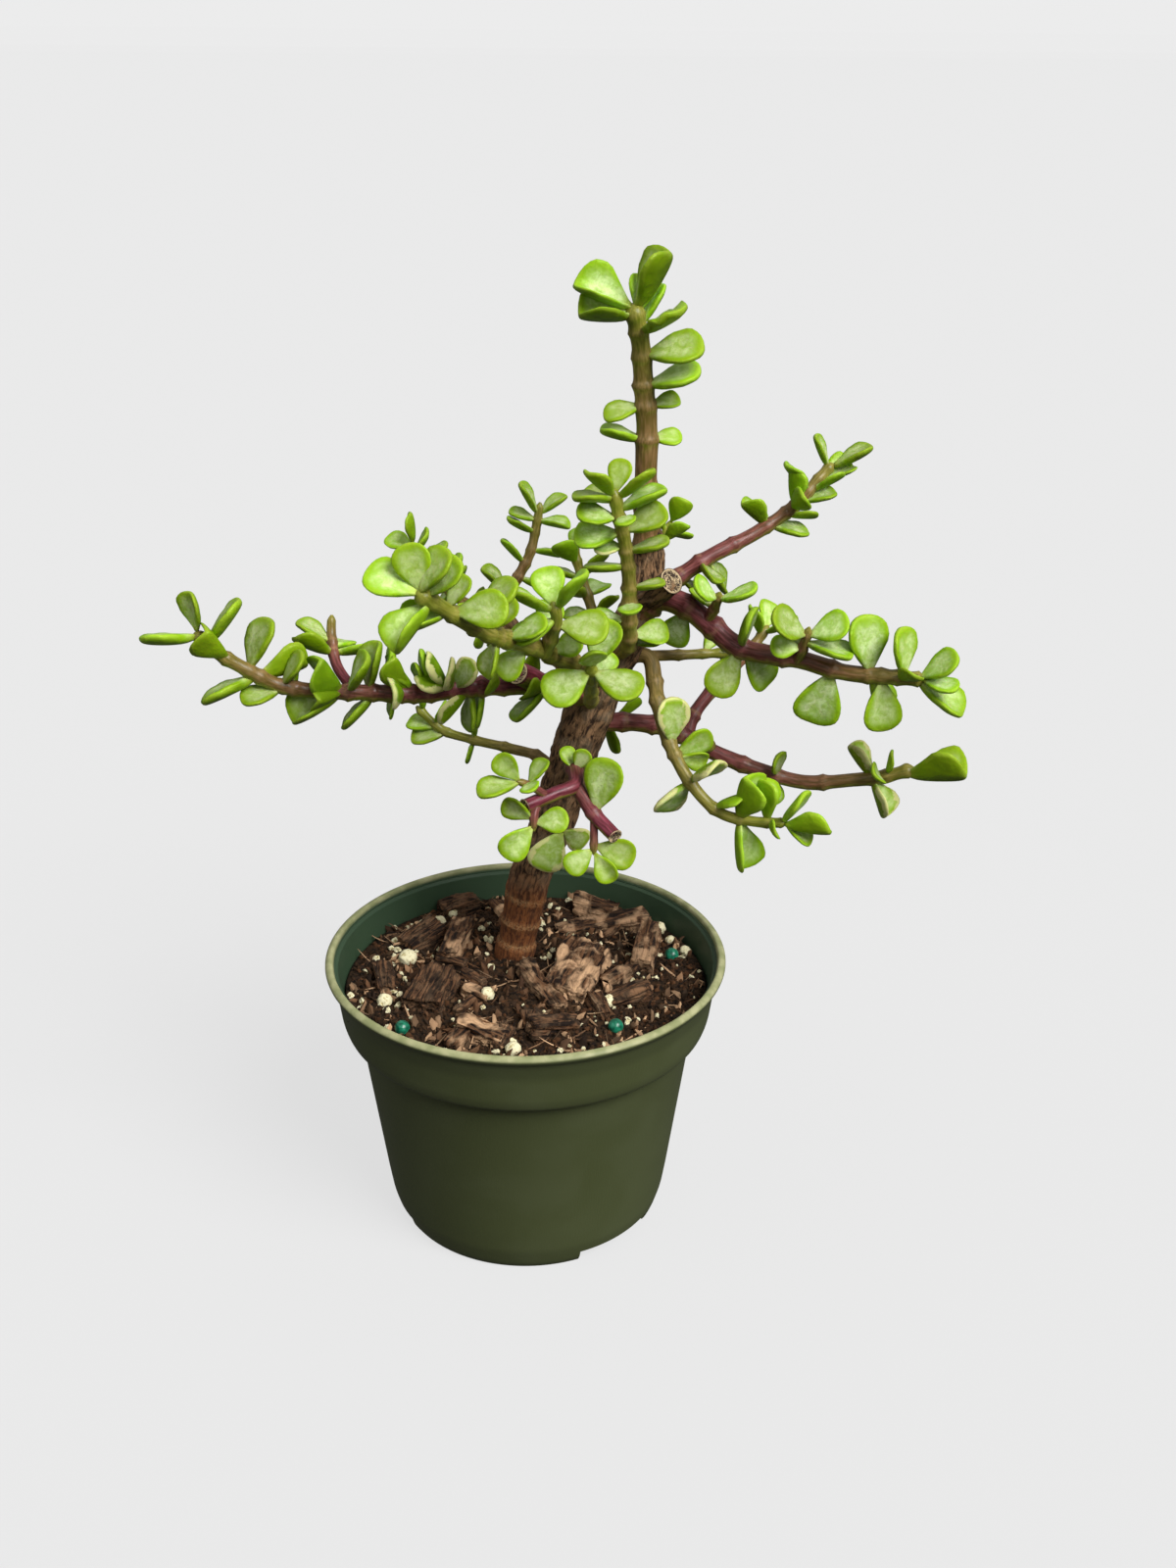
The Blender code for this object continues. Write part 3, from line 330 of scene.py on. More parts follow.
        1.2, 0.9, 8, 0.5,
        [(17, 150, 10, 12), (17, 235, 0, 8)],
    )],
    "right_trunk_sprout": [Stem(
        [(13, 9, 133), (20, 14, 137), (24, 18, 138)],
        1.2, 0.9, 8, 0.5,
        [(12, 180, 0, 9), (14, 60, 60, 8)],
    )],
}

# Bare cut stub on the trunk beside the leader
CUT_STUB = [(28, 6, 172), (33, -1, 178), (36, -5, 182)]
CUT_STUB_RADIUS = 3.1

# Lip and wall of the pot as seen close up: each corner of the outline turns on a soft bend
BEND_REACH = 1.3
BEND_SHARES = (0.0, 0.25, 0.5, 0.75, 1.0)
LEDGE_STEP = 0.3
SHARP_BEND = 32.0
LIP_FROM = 75.8
LIP_FADE = 0.5
INNER_SLOPE = 2.0
INNER_FROM = 0.6

# Cross-sections of a leaf's blade: place along it, half width and thickness as shares of the greatest
BLADE_ROWS = [
    (0.0, 0.13, 0.50), (0.07, 0.20, 0.70), (0.16, 0.36, 0.88), (0.27, 0.56, 0.98), (0.38, 0.75, 1.0),
    (0.49, 0.90, 1.0), (0.60, 0.985, 0.97), (0.70, 1.0, 0.93), (0.79, 0.955, 0.88),
    (0.87, 0.83, 0.80), (0.935, 0.65, 0.68), (0.975, 0.42, 0.50), (0.995, 0.18, 0.25),
]
BLADE_SIDES = 16
EDGE_FULLNESS = 0.75
MIDRIB_DEPTH = 0.014
MIDRIB_WIDTH = 0.16
BLADE_FLARE = 1.6
UPPER_EDGE = 1.6

# How one leaf differs from the next: its width, bend, cup and fold as shares, and its youth
LEAF_WIDTHS = (0.93, 1.06)
LEAF_BENDS = (-0.11, 0.09)
LEAF_CUPS = (0.02, 0.12)
FOLDED_CUP = 0.05
LEAF_FOLDS = (0.0, 0.07)
FOLDED = 0.22
WAVE = 0.012
WAVY_MORE = 0.05
YOUTH_SPREAD = 0.15

# How each spray is coloured: maroon flush, woodiness at its foot, and youth of its first and last leaves
SPRAY_AGES = {
    "leader_shoot": (0.70, 0.20, 0.75, 0.35),
    "leader_side_shoot": (0.20, 0.30, 0.40, 0.60),
    "centre_shoot": (0.50, 0.30, 0.25, 0.65),
    "right_upper_branch": (1.00, 0.30, 0.20, 0.35),
    "right_main_branch": (1.00, 0.20, 0.20, 0.40),
    "hanging_branch": (0.45, 0.62, 0.35, 0.65),
    "lower_right_branch": (1.00, 0.28, 0.25, 0.55),
    "left_main_branch": (1.00, 0.05, 0.15, 0.60),
    "front_left_branch": (0.45, 0.03, 0.35, 0.55),
    "front_rosette": (0.35, 0.10, 0.30, 0.35),
    "back_left_branch": (0.75, 0.55, 0.15, 0.55),
    "back_centre_shoot": (0.55, 0.45, 0.20, 0.40),
    "lower_left_twig": (0.35, 0.90, 0.30, 0.35),
    "low_front_fork": (1.00, 0.34, 0.35, 0.65),
    "low_trunk_sprout": (0.10, 0.30, 0.45, 0.45),
    "right_trunk_sprout": (0.20, 0.60, 0.35, 0.35),
}

# Stations of the leaves that have a cream rim, and of those folded along the middle, by spray
CREAM_RIMS = {
    "left_main_branch": (37, 40, 41, 42, 53), "hanging_branch": (34, 45), "centre_shoot": (42,),
    "lower_right_branch": (77,), "low_trunk_sprout": (17,),
}
FOLDS = {
    "leader_shoot": (59, 57), "left_main_branch": (97, 88, 68, 52), "lower_right_branch": (77, 86),
    "hanging_branch": (61, 68), "right_upper_branch": (40, 58), "front_left_branch": (76, 82),
}
WAVY = {"leader_shoot": (53,)}

# Cut ends: middle, the way that each faces, and radius
CUT_ENDS = [
    ((36.0, -5.0, 182.0), (0.55, -0.65, 0.52), 3.25),
    ((-1.0, -10.0, 160.0), (-0.45, -0.72, 0.53), 3.0),
    ((1.0, -16.0, 127.0), (-0.74, -0.67, -0.05), 2.0),
    ((23.0, -18.0, 120.0), (0.54, -0.79, -0.28), 2.0),
]
CUT_RINGS = 7
CUT_SIDES = 28
CUT_LIFT = 0.75
CUT_REACH = 1.0
CRACK_SCALE = 0.9
CRACK_DEPTH = 0.70
DISH_DEPTH = 0.22
RIM_DROP = 0.25
PITH_DROP = 0.10
CUT_BACK = 2.0

# Ring scars on the lower trunk, as heights above the foot, and how far the bark steps out below each
TRUNK_RINGS = (73.0, 79.5, 87.0, 101.0, 126.0, 146.0)
SLEEVES_TO = 90.0
SLEEVE_STEP = 0.13
SLEEVE_RELIEF = 0.15
FOOT_WAIST = 0.09
WAIST_HEIGHT = 70.0
WAIST_REACH = 9.0
RING_REACH = 0.7
SLEEVE_RING = 0.45
OLD_SLEEVE_STEP = 0.015
OLD_RING = 0.12
STUB_STATION = 150
STUB_RING = 5
STUB_RING_REACH = 0.6
STUB_SCAR = 0.6

# Swellings and scars along a stem
NODE_REACH = 1.1
SCAR_REACH = 0.45
SCAR_SHIFT = 0.5
SCAR_STRENGTH = 0.60
SCAR_LOSS = 0.40
JOINT_GAP = 2.5
INTERNODE_WAIST = 0.96
INTERNODE_GAIN = 0.11
OLD_NODE_GAPS = (5.0, 12.0)
OLD_NODES = 9
COLLAR_FLARE = 0.45
COLLAR_LENGTH = 3.0
TIP_LENGTH = 1.4
TIP_LEAST = 0.08
WOOD_FROM = 1.15
WOOD_LOSS = 1.5
FLUSH_FADE = 0.65

# Bed of the mix seen close up: its mesh, and how its lumps fade out towards the wall
BED_RINGS = 84
BED_SIDES = 220
LOOSE_FADE = 2.0
LOOSE_DROP = 0.5

# What sets one chip's and one ball's grain and tone apart from the next
CHIP_SHIFT = (3, 3, 5)
CHIP_DRAW = (0.37, 0.61, 0.23)
BALL_SHIFT = 7
BALL_LEVEL = 4

# What is scattered over the bed: crumbs, splinters of bark and fibres, with their inputs in the tree
CRUMB_LUMPS = (0.62, 1.15)
CRUMB_SIDES = (1.0, 0.7)
SPLINTER_SIDES = (0.42, 0.26)
FIBRE_REACH = 5.0
FIBRE_RINGS = 7
FIBRE_HALF_WIDTH = 0.34
FIBRE_TAPER = 5.6
FIBRE_BOW = 0.02
FIBRE_DEPTH = 0.6
SCATTER_INPUTS = ("Least", "Most", "Tumble", "Lift", "Seed")
SCATTERED = {
    "loose_crumbs": (0.5, 2.4, math.pi, 0.0, 11),
    "bark_fibres": (0.35, 0.9, 0.45, 0.4 * MM, 21),
    "bark_bits": (2.0, 7.0, math.pi, 0.0, 41),
    "small_perlite": (0.6, 2.5, math.pi, 0.3 * MM, 31),
}


def colour(text):
    """Linear colour of an sRGB hex value."""
    channels = [int(text[i:i + 2], 16) / 255 for i in (1, 3, 5)]
    linear = [c / 12.92 if c <= 0.04045 else ((c + 0.055) / 1.055) ** 2.4 for c in channels]
    return (*linear, 1.0)


def tint(name, text, note):
    """A colour that a user may change, with its default as an sRGB hex value."""
    return bpy.props.FloatVectorProperty(
        name=name, description=note, subtype="COLOR", size=4, min=0.0, max=1.0, default=colour(text)
    )


def extent(name, millimetres, note):
    """A length that a user may change, with its default in millimetres."""
    return bpy.props.FloatProperty(
        name=name, description=note, unit="LENGTH", min=0.0, precision=5, default=millimetres * MM
    )


def fraction(name, value, note):
    """A share from 0 to 1 that a user may change."""
    return bpy.props.FloatProperty(
        name=name, description=note, subtype="FACTOR", min=0.0, max=1.0, default=value
    )


def brightness(name, value, note):
    """A strength of light that a user may change."""
    return bpy.props.FloatProperty(name=name, description=note, min=0.0, default=value)


def breadth(name, degrees, note):
    """An angle that a user may change, with its default in degrees."""
    return bpy.props.FloatProperty(
        name=name, description=note, subtype="ANGLE", min=0.0, max=math.pi, default=math.radians(degrees)
    )


def number(name, value, note):
    """A whole number that a user may change."""
    return bpy.props.IntProperty(name=name, description=note, min=1, default=value)


class JadeLeafLook(bpy.types.PropertyGroup):
    upper: tint("Upper face", "#80A610", "Green of a grown leaf's upper face")
    bloom_and_sheen: tint("Bloom", "#D6E3B2", "Pale waxy bloom in the middle of the upper face")
    fleck: tint("Flecks", "#688C12", "Dark flecks in the upper face")
    under: tint("Underside", "#759A08", "Green of the underside")
    under_dark: tint("Underside shade", "#56760A", "Darker green of the underside")
    young: tint("Young leaf", "#94B91A", "Clear green of a young leaf")
    young_bloom_and_sheen: tint("Young upper face", "#C8DC86", "Green of a young leaf's upper face")
    shine: tint("Shine", "#EAFF9C", "Tone of the light thrown back by the waxy skin")
    foot: tint("Leaf foot", "#A9B53C", "Yellow-green where a leaf meets its stem")
    edge: tint("Edge", "#B8D04A", "Bright line along a leaf's edge")
    cream: tint("Cream rim", "#D5D48E", "Cream rim of a few leaves")
    mottle_size: extent("Mottle size", 2.4, "Width of a mottle on the upper face")
    roughness: fraction("Roughness", 0.41, "Roughness of the waxy skin")


class JadeStemLook(bpy.types.PropertyGroup):
    olive: tint("Olive", "#75801C", "Green of a young stem")
    olive_light: tint("Light olive", "#99A338", "Lighter streaks of a young stem")
    maroon: tint("Maroon", "#531C22", "Flush on the sunny side")
    purple: tint("Purple", "#863D4C", "Lighter streaks in the flush")
    wood: tint("Young wood", "#92704A", "Woody stem")
    wood_dark: tint("Young wood shade", "#5C4128", "Furrows of a woody stem")
    scar: tint("Leaf scar", "#B39468", "Corky ring at an old leaf scar")
    sides: number("Sides", 16, "Sides of a stem's tube")
    step: extent("Ring step", 0.7, "Distance between two rings of a stem's tube")
    swelling: fraction(
        "Node swelling", 0.17, "How far a stem swells at each pair of leaves, as a share of its radius")


class JadeBarkLook(bpy.types.PropertyGroup):
    plate: tint("Bark plate", "#8C6B4C", "Ridges of the bark")
    furrow: tint("Furrow", "#2A1C11", "Furrows between the plates")
    grey: tint("Weathered bark", "#8A7860", "Greyer, older patches")
    red_base: tint("Foot of the trunk", "#7E4A26", "Redder bark near the mix")
    red_shade: tint("Shade at the foot", "#4A2B1A", "Darker streaks in the redder bark")
    ring: tint("Ring scar", "#B39063", "Pale ring left by an old leaf or shoot")
    pith: tint("Pith", "#2E1D15", "Cracked middle of a cut shoot")
    rim: tint("Callus", "#CDB48C", "Pale rim of a cut shoot")
    sides: number("Sides", 56, "Sides of the trunk's tube")
    step: extent("Ring step", 0.8, "Distance between two rings of the trunk's tube")
    depth: extent("Furrow depth", 0.55, "Depth of the bark's furrows")


class JadePotLook(bpy.types.PropertyGroup):
    body: tint("Pot", "#464C2E", "Olive green of the moulded wall")
    body_light: tint("Hazed pot", "#4A5033", "Paler haze from handling")
    inside: tint("Inside wall", "#364935", "Bluer green of the wall inside")
    lip: tint("Lip", "#878B60", "Pale bead at the lip")
    lip_scuff_and_highlight: tint("Scuffed lip", "#A7A67C", "Scuffed stretches of the lip")
    roughness: fraction("Roughness", 0.46, "Roughness of the moulded wall")
    sides: number("Sides", 160, "Sides of the turned wall")


class JadeMixLook(bpy.types.PropertyGroup):
    peat: tint("Peat", "#110B06", "Damp peat")
    fines: tint("Fines", "#3C2918", "Bark fines")
    red_fines: tint("Red crumbs", "#5E3D25", "Redder crumbs")
    chip: tint("Bark chip", "#6A4A32", "Layers of a bark chip")
    chip_light: tint("Pale bark", "#C9A27C", "Pale faces of a bark chip")
    chip_dark: tint("Dark bark", "#1A100A", "Cracks between the layers")
    perlite: tint("Perlite", "#E0D8B2", "Chalky perlite")
    perlite_stain: tint("Stained perlite", "#A3915A", "Perlite stained by the mix")
    prill: tint("Prill", "#0F4E3A", "Coating of a fertiliser prill")
    prill_light: tint("Prill highlight", "#1F7A5C", "Lighter clouds in the coating")
    crumbs: number("Crumbs", 4600, "Loose crumbs scattered over the mix")
    bark_bits: number("Bark bits", 700, "Small broken bits of bark scattered over the mix")
    fibres: number("Fibres", 260, "Bark fibres scattered over the mix")
    beads: number("Small perlite", 210, "Small grains of perlite scattered over the mix")


class JadeStageLook(bpy.types.PropertyGroup):
    paper: tint("Paper", "#E9E9E9", "Backdrop paper")
    glow: fraction(
        "Paper's own brightness", 0.85, "Share of the paper's brightness that no shadow takes away")
    soak: fraction(
        "Shadow depth", 0.115, "Share of the lights that the paper gives back, and its shadows with it")
    key: brightness("Key light", 4.1, "Strength of the large soft light at the front right")
    key_spread: breadth("Key spread", 34.0, "Width of the key light as the plant sees it")
    fill: brightness("Fill light", 0.34, "Strength of the weaker light at the left")
    fill_spread: breadth("Fill spread", 60.0, "Width of the fill light as the plant sees it")
    room_high: brightness("Room overhead", 0.45, "Brightness of the room above")
    room_low: brightness("Room below", 0.08, "Brightness of the room beneath")


def fill(tree, node, joins):
    """Gives inputs of a node an output to join, or a value."""
    for key, value in joins.items():
        if isinstance(value, bpy.types.NodeSocket):
            tree.links.new(value, node.inputs[key])
        else:
            node.inputs[key].default_value = value


def add(tree, kind, joins=None, out=0, **settings):
    """Adds a node with its settings and links, and returns one of its outputs."""
    node = tree.nodes.new(kind)
    for key, value in settings.items():
        setattr(node, key, value)
    fill(tree, node, joins or {})
    return node.outputs[out]


def new_material(name):
    """A material of this name with one Principled shader, and its tree."""
    material = bpy.data.materials.new(name)
    material.use_nodes = True
    return material, material.node_tree


def surfaced(material, joins):
    """The material, with its shader's inputs joined or set."""
    fill(material.node_tree, material.node_tree.nodes["Principled BSDF"], joins)
    return material


NOISE, MIX, RANGE, MATH = "ShaderNodeTexNoise", "ShaderNodeMix", "ShaderNodeMapRange", "ShaderNodeMath"
ATTRIBUTE, MAPPING, BUMP = "ShaderNodeAttribute", "ShaderNodeMapping", "ShaderNodeBump"
COORDINATE, SEPARATE = "ShaderNodeTexCoord", "ShaderNodeSeparateXYZ"
SOFT = {"interpolation_type": "SMOOTHSTEP"}
RGBA = {"data_type": "RGBA"}
TIMES = {"operation": "MULTIPLY"}
GREATER = {"operation": "MAXIMUM"}


def leaf_material(look):
    """Waxy skin of a succulent leaf: satin, so each thick blade shows one soft highlight. A pale mottle on
    the upper face is partly a grey waxy bloom and partly painted highlight, the edge is a bright line of
    painted light where light comes through, and the back is painted darker, partly its own green and
    partly painted shade."""
    material, t = new_material("succulent_leaf_skin")
    place = add(t, COORDINATE, out="Object")
    upper, across, along, youth, cream, draw = [
        add(t, ATTRIBUTE, out="Fac", attribute_name=name)
        for name in ("upper", "across", "along", "youth", "cream", "draw")]
    rim = add(t, MATH, {0: across}, operation="ABSOLUTE")
    # The pale mottle, part waxy bloom and part painted highlight, lies in the middle of the upper face, in
    # soft mottles with flecks a third of their width
    lumps = add(t, NOISE, {"Vector": place, "Scale": 1 / look.mottle_size, "Detail": 5.0,
                           "Roughness": 0.62, "Distortion": 0.6})
    dots = add(t, NOISE, {"Vector": place, "Scale": 3.0 / look.mottle_size, "Detail": 2.0})
    broad = add(t, NOISE, {"Vector": place, "Scale": 1 / 0.006, "Detail": 2.0})
    mottle, middle, short, tip, line, shade = [
        add(t, RANGE, {"Value": value, "From Min": low, "From Max": high}, **SOFT)
        for value, low, high in ((lumps, 0.34, 0.66), (rim, 0.86, 0.42), (along, 0.94, 0.70),
                                 (along, 0.90, 1.0), (rim, 0.88, 0.99), (broad, 0.35, 0.65))]
    bloom_and_sheen = add(t, RANGE, {"Value": mottle, "To Min": 0.24, "To Max": 0.80})
    for part in (middle, short):
        bloom_and_sheen = add(t, MATH, {0: bloom_and_sheen, 1: part}, **TIMES)
    fleck = add(t, RANGE, {"Value": dots, "From Min": 0.46, "From Max": 0.66, "To Max": 0.35}, **SOFT)
    foot = add(t, RANGE, {"Value": along, "From Min": 0.24, "From Max": 0.0, "To Max": 0.7}, **SOFT)
    # Painted light: a bright line along the edge and round the tip, where light comes through the thin
    # blade
    line = add(t, MATH, {0: line, 1: tip}, **GREATER)
    line = add(t, MATH, {0: line, 1: 0.30}, **TIMES)
    # A cream rim comes and goes along the edge, and its inner border follows the mottles
    ragged = add(t, MATH, {0: rim, 1: lumps})
    band = add(t, RANGE, {"Value": ragged, "From Min": 1.12, "From Max": 1.30}, **SOFT)
    band = add(t, MATH, {0: band, 1: tip}, **GREATER)
    band = add(t, MATH, {0: band, 1: cream}, **TIMES)
    # Young leaves are clearer and yellower, and show less bloom; their pale upper green on the same
    # mottles is partly painted highlight
    clear = add(t, MATH, {0: upper, 1: bloom_and_sheen}, **TIMES)
    young = add(t, MIX, {0: clear, 6: look.young, 7: look.young_bloom_and_sheen}, 2, **RGBA)
    # Pale mottle over the middle of the upper face: partly waxy bloom, partly painted highlight of the lit
    # face
    face = add(t, MIX, {0: bloom_and_sheen, 6: look.upper, 7: look.bloom_and_sheen}, 2, **RGBA)
    face = add(t, MIX, {0: fleck, 6: face, 7: look.fleck}, 2, **RGBA)
    # The underside is painted darker than the upper face: partly the leaf's own deeper green, partly
    # painted shade on the side turned from the light
    skin = add(t, MIX, {0: shade, 6: look.under, 7: look.under_dark}, 2, **RGBA)
    for part, over in ((upper, face), (youth, young), (foot, look.foot), (line, look.edge),
                       (band, look.cream)):
        skin = add(t, MIX, {0: part, 6: skin, 7: over}, 2, **RGBA)
    hue = add(t, RANGE, {"Value": draw, "To Min": 0.492, "To Max": 0.508})
    value = add(t, RANGE, {"Value": draw, "To Min": 0.76, "To Max": 1.14})
    skin = add(t, "ShaderNodeHueSaturation", {"Hue": hue, "Value": value, "Color": skin})
    gloss = add(t, RANGE, {"Value": bloom_and_sheen, "To Min": look.roughness - 0.05,
                           "To Max": look.roughness + 0.09})
    dimple = add(t, NOISE, {"Vector": place, "Scale": 1 / 0.0026, "Detail": 2.0})
    dimple = add(t, BUMP, {"Height": dimple, "Distance": 0.00030})
    pores = add(t, BUMP, {"Height": fleck, "Distance": 0.00005, "Normal": dimple})
    return surfaced(material, {
        "Base Color": skin, "Roughness": gloss, "Normal": pores, "IOR": 1.38,
        "Specular Tint": look.shine, "Specular IOR Level": 0.46, "Subsurface Weight": 0.16,
        "Subsurface Radius": (0.35, 1.0, 0.12), "Subsurface Scale": 0.0012,
    })


def stem_material(look):
    """Smooth skin of a green shoot, flushed maroon where the sun reaches it, with tan corky rings at the
    old leaf scars. Woody stretches turn matt brown."""
    material, t = new_material("jade_shoot_skin")
    skin = add(t, ATTRIBUTE, out="Vector", attribute_name="grain")
    flush, woody, scar, upward = [
        add(t, ATTRIBUTE, out="Fac", attribute_name=name) for name in ("flush", "woody", "scar", "upward")]
    # Streaks 0.5 mm wide that run 4 mm along the stem, and blotches of 3 mm
    run = add(t, MAPPING, {"Vector": skin, "Scale": (1.0, 1.0, 0.13)})
    streak = add(t, NOISE, {"Vector": run, "Scale": 1 / 0.0005, "Detail": 3.0})
    lines = add(t, RANGE, {"Value": streak, "From Min": 0.28, "From Max": 0.74}, **SOFT)
    blotch = add(t, NOISE, {"Vector": skin, "Scale": 1 / 0.003, "Detail": 3.0, "Distortion": 0.5})
    sunny = add(t, MATH, {0: upward, 1: blotch})
    sunny = add(t, RANGE, {"Value": sunny, "From Min": -0.20, "From Max": 0.50, "To Min": 0.25}, **SOFT)
    aged = add(t, RANGE, {"Value": blotch, "From Min": 0.2, "From Max": 0.5, "To Min": 0.6}, **SOFT)
    cork = add(t, RANGE, {"Value": blotch, "From Min": 0.40, "From Max": 0.62, "To Max": 0.8}, **SOFT)
    sunny, aged, cork = [add(t, MATH, {0: part, 1: share}, **TIMES)
                         for part, share in ((sunny, flush), (aged, woody), (cork, scar))]
    shade, red, wood = [
        add(t, MIX, {0: lines, 6: low, 7: high}, 2, **RGBA)
        for low, high in ((look.olive, look.olive_light), (look.maroon, look.purple),
                          (look.wood_dark, look.wood))]
    for part, over in ((sunny, red), (aged, wood), (cork, look.scar)):
        shade = add(t, MIX, {0: part, 6: shade, 7: over}, 2, **RGBA)
    dull = add(t, MATH, {0: woody, 1: scar}, **GREATER)
    dull = add(t, RANGE, {"Value": dull, "To Min": 0.31, "To Max": 0.75})
    bumps = add(t, BUMP, {"Height": streak, "Distance": 0.00005})
    return surfaced(material, {
        "Base Color": shade, "Roughness": dull, "Normal": bumps, "IOR": 1.40,
        "Specular IOR Level": 0.40, "Subsurface Weight": 0.08, "Subsurface Radius": (0.8, 0.5, 0.15),
        "Subsurface Scale": 0.0006,
    })


def bark_material(look):
    """Thin corky bark, matt, in fine upright plates: pale ridges over dark furrows, with tan rings where
    old leaves and shoots sat."""
    material, t = new_material("jade_corky_bark")
    skin = add(t, ATTRIBUTE, out="Vector", attribute_name="grain")
    scar = add(t, ATTRIBUTE, out="Fac", attribute_name="scar")
    # Plates 0.9 mm wide that run 3 mm up the trunk, patches of 7 mm, and grit of 0.5 mm
    run = add(t, MAPPING, {"Vector": skin, "Scale": (1.0, 1.0, 0.30)})
    plates = add(t, NOISE, {"Vector": run, "Scale": 1 / 0.0009, "Detail": 4.0, "Roughness": 0.6,
                            "Distortion": 0.6})
    ridges = add(t, RANGE, {"Value": plates, "From Min": 0.36, "From Max": 0.62}, **SOFT)
    patch = add(t, NOISE, {"Vector": skin, "Scale": 1 / 0.007, "Detail": 3.0, "Distortion": 0.3})
    patch = add(t, RANGE, {"Value": patch, "From Min": 0.45, "From Max": 0.70, "To Max": 0.6}, **SOFT)
    grit = add(t, NOISE, {"Vector": skin, "Scale": 1 / 0.0005, "Detail": 2.0})
    height = add(t, SEPARATE, {0: skin}, 2)
    low = add(t, RANGE, {"Value": height, "From Min": 0.070, "From Max": 0.056, "To Max": 0.90}, **SOFT)
    pale = add(t, RANGE, {"Value": grit, "From Min": 0.35, "From Max": 0.60}, **SOFT)
    pale = add(t, MATH, {0: pale, 1: scar}, **TIMES)
    shade = add(t, MIX, {0: ridges, 6: look.furrow, 7: look.plate}, 2, **RGBA)
    red = add(t, MIX, {0: ridges, 6: look.red_shade, 7: look.red_base}, 2, **RGBA)
    for part, over in ((patch, look.grey), (low, red), (pale, look.ring)):
        shade = add(t, MIX, {0: part, 6: shade, 7: over}, 2, **RGBA)
    deep = add(t, BUMP, {"Height": plates, "Distance": 0.0006})
    fine = add(t, BUMP, {"Height": grit, "Distance": 0.0002, "Normal": deep})
    return surfaced(material, {"Base Color": shade, "Normal": fine, "Roughness": 0.86,
                               "Specular IOR Level": 0.20})


def cut_material(look):
    """Dried cut end of a shoot: a pale callused rim round cracked brown pith."""
    material, t = new_material("dried_cut_wood")
    place = add(t, COORDINATE, out="Object")
    reach = add(t, ATTRIBUTE, out="Fac", attribute_name="reach")
    crack = add(t, NOISE, {"Vector": place, "Scale": 1 / 0.0009, "Detail": 4.0, "Roughness": 0.7,
                           "Distortion": 1.5})
    ragged = add(t, MATH, {0: crack, 1: 0.4, 2: reach}, operation="MULTIPLY_ADD")
    shade = look.pith
    for part, low, high, over in ((crack, 0.46, 0.60, look.rim), (ragged, 0.98, 1.06, look.rim),
                                  (reach, 0.93, 1.0, look.furrow)):
        part = add(t, RANGE, {"Value": part, "From Min": low, "From Max": high}, **SOFT)
        shade = add(t, MIX, {0: part, 6: shade, 7: over}, 2, **RGBA)
    rough = add(t, BUMP, {"Height": crack, "Distance": 0.0005})
    return surfaced(material, {"Base Color": shade, "Normal": rough, "Roughness": 0.9})


def pot_material(look):
    """Injection-moulded polypropylene: low satin sheen with faint haze from handling, and a paler bead at
    the lip, painted highlight where light comes through the thin edge, with paler stretches partly scuffed
    and partly painted highlight."""
    material, t = new_material("moulded_polypropylene")
    place = add(t, COORDINATE, out="Object")
    lip = add(t, ATTRIBUTE, out="Fac", attribute_name="lip")
    inner = add(t, ATTRIBUTE, out="Fac", attribute_name="inner")
    haze = add(t, NOISE, {"Vector": place, "Scale": 1 / 0.02, "Detail": 4.0, "Distortion": 0.5})
    scuff_and_highlight = add(t, NOISE, {"Vector": place, "Scale": 1 / 0.004, "Detail": 3.0})
    haze, scuff_and_highlight = [add(t, RANGE, {"Value": patch, "From Min": 0.35, "From Max": 0.70}, **SOFT)
                   for patch in (haze, scuff_and_highlight)]
    # Drag marks from the mould, 0.4 mm apart and 30 mm long down the wall, over a 0.5 mm grain
    run = add(t, MAPPING, {"Vector": place, "Scale": (1.0, 1.0, 0.014)})
    drag = add(t, NOISE, {"Vector": run, "Scale": 1 / 0.0004, "Detail": 2.0})
    grain = add(t, NOISE, {"Vector": place, "Scale": 1 / 0.0005, "Detail": 2.0})
    # Painted highlight: the pale bead at the lip, with paler stretches that are partly scuffs and partly
    # painted highlight
    bead = add(t, MIX, {0: scuff_and_highlight, 6: look.lip, 7: look.lip_scuff_and_highlight}, 2, **RGBA)
    shade = look.body
    # The inside wall is painted a darker, bluer green than the outside: painted shade inside the pot
    for part, over in ((haze, look.body_light), (inner, look.inside), (lip, bead)):
        shade = add(t, MIX, {0: part, 6: shade, 7: over}, 2, **RGBA)
    gloss = add(t, RANGE, {"Value": haze, "To Min": look.roughness - 0.05,
                           "To Max": look.roughness + 0.07})
    moulded = add(t, BUMP, {"Height": drag, "Distance": 0.00002})
    fine = add(t, BUMP, {"Height": grain, "Distance": 0.00002, "Normal": moulded})
    return surfaced(material, {"Base Color": shade, "Roughness": gloss, "Normal": fine, "IOR": 1.49,
                               "Specular IOR Level": 0.25})


def mix_material(look):
    """Damp peat and bark fines: dark, matt and crumbly, with red-brown crumbs."""
    material, t = new_material("peat_and_bark_fines")
    place = add(t, COORDINATE, out="Object")
    draw = add(t, ATTRIBUTE, out="Fac", attribute_name="draw")
    crumb = add(t, NOISE, {"Vector": place, "Scale": 1 / 0.0012, "Detail": 4.0, "Roughness": 0.7})
    dark = add(t, RANGE, {"Value": crumb, "From Min": 0.35, "From Max": 0.65}, **SOFT)
    shade = add(t, MIX, {0: dark, 6: look.peat, 7: look.fines}, 2, **RGBA)
    red = add(t, RANGE, {"Value": draw, "From Min": 0.55, "To Max": 0.7}, **SOFT)
    shade = add(t, MIX, {0: red, 6: shade, 7: look.red_fines}, 2, **RGBA)
    rough = add(t, BUMP, {"Height": crumb, "Distance": 0.0006})
    return surfaced(material, {"Base Color": shade, "Normal": rough, "Roughness": 0.95,
                               "Specular IOR Level": 0.20})


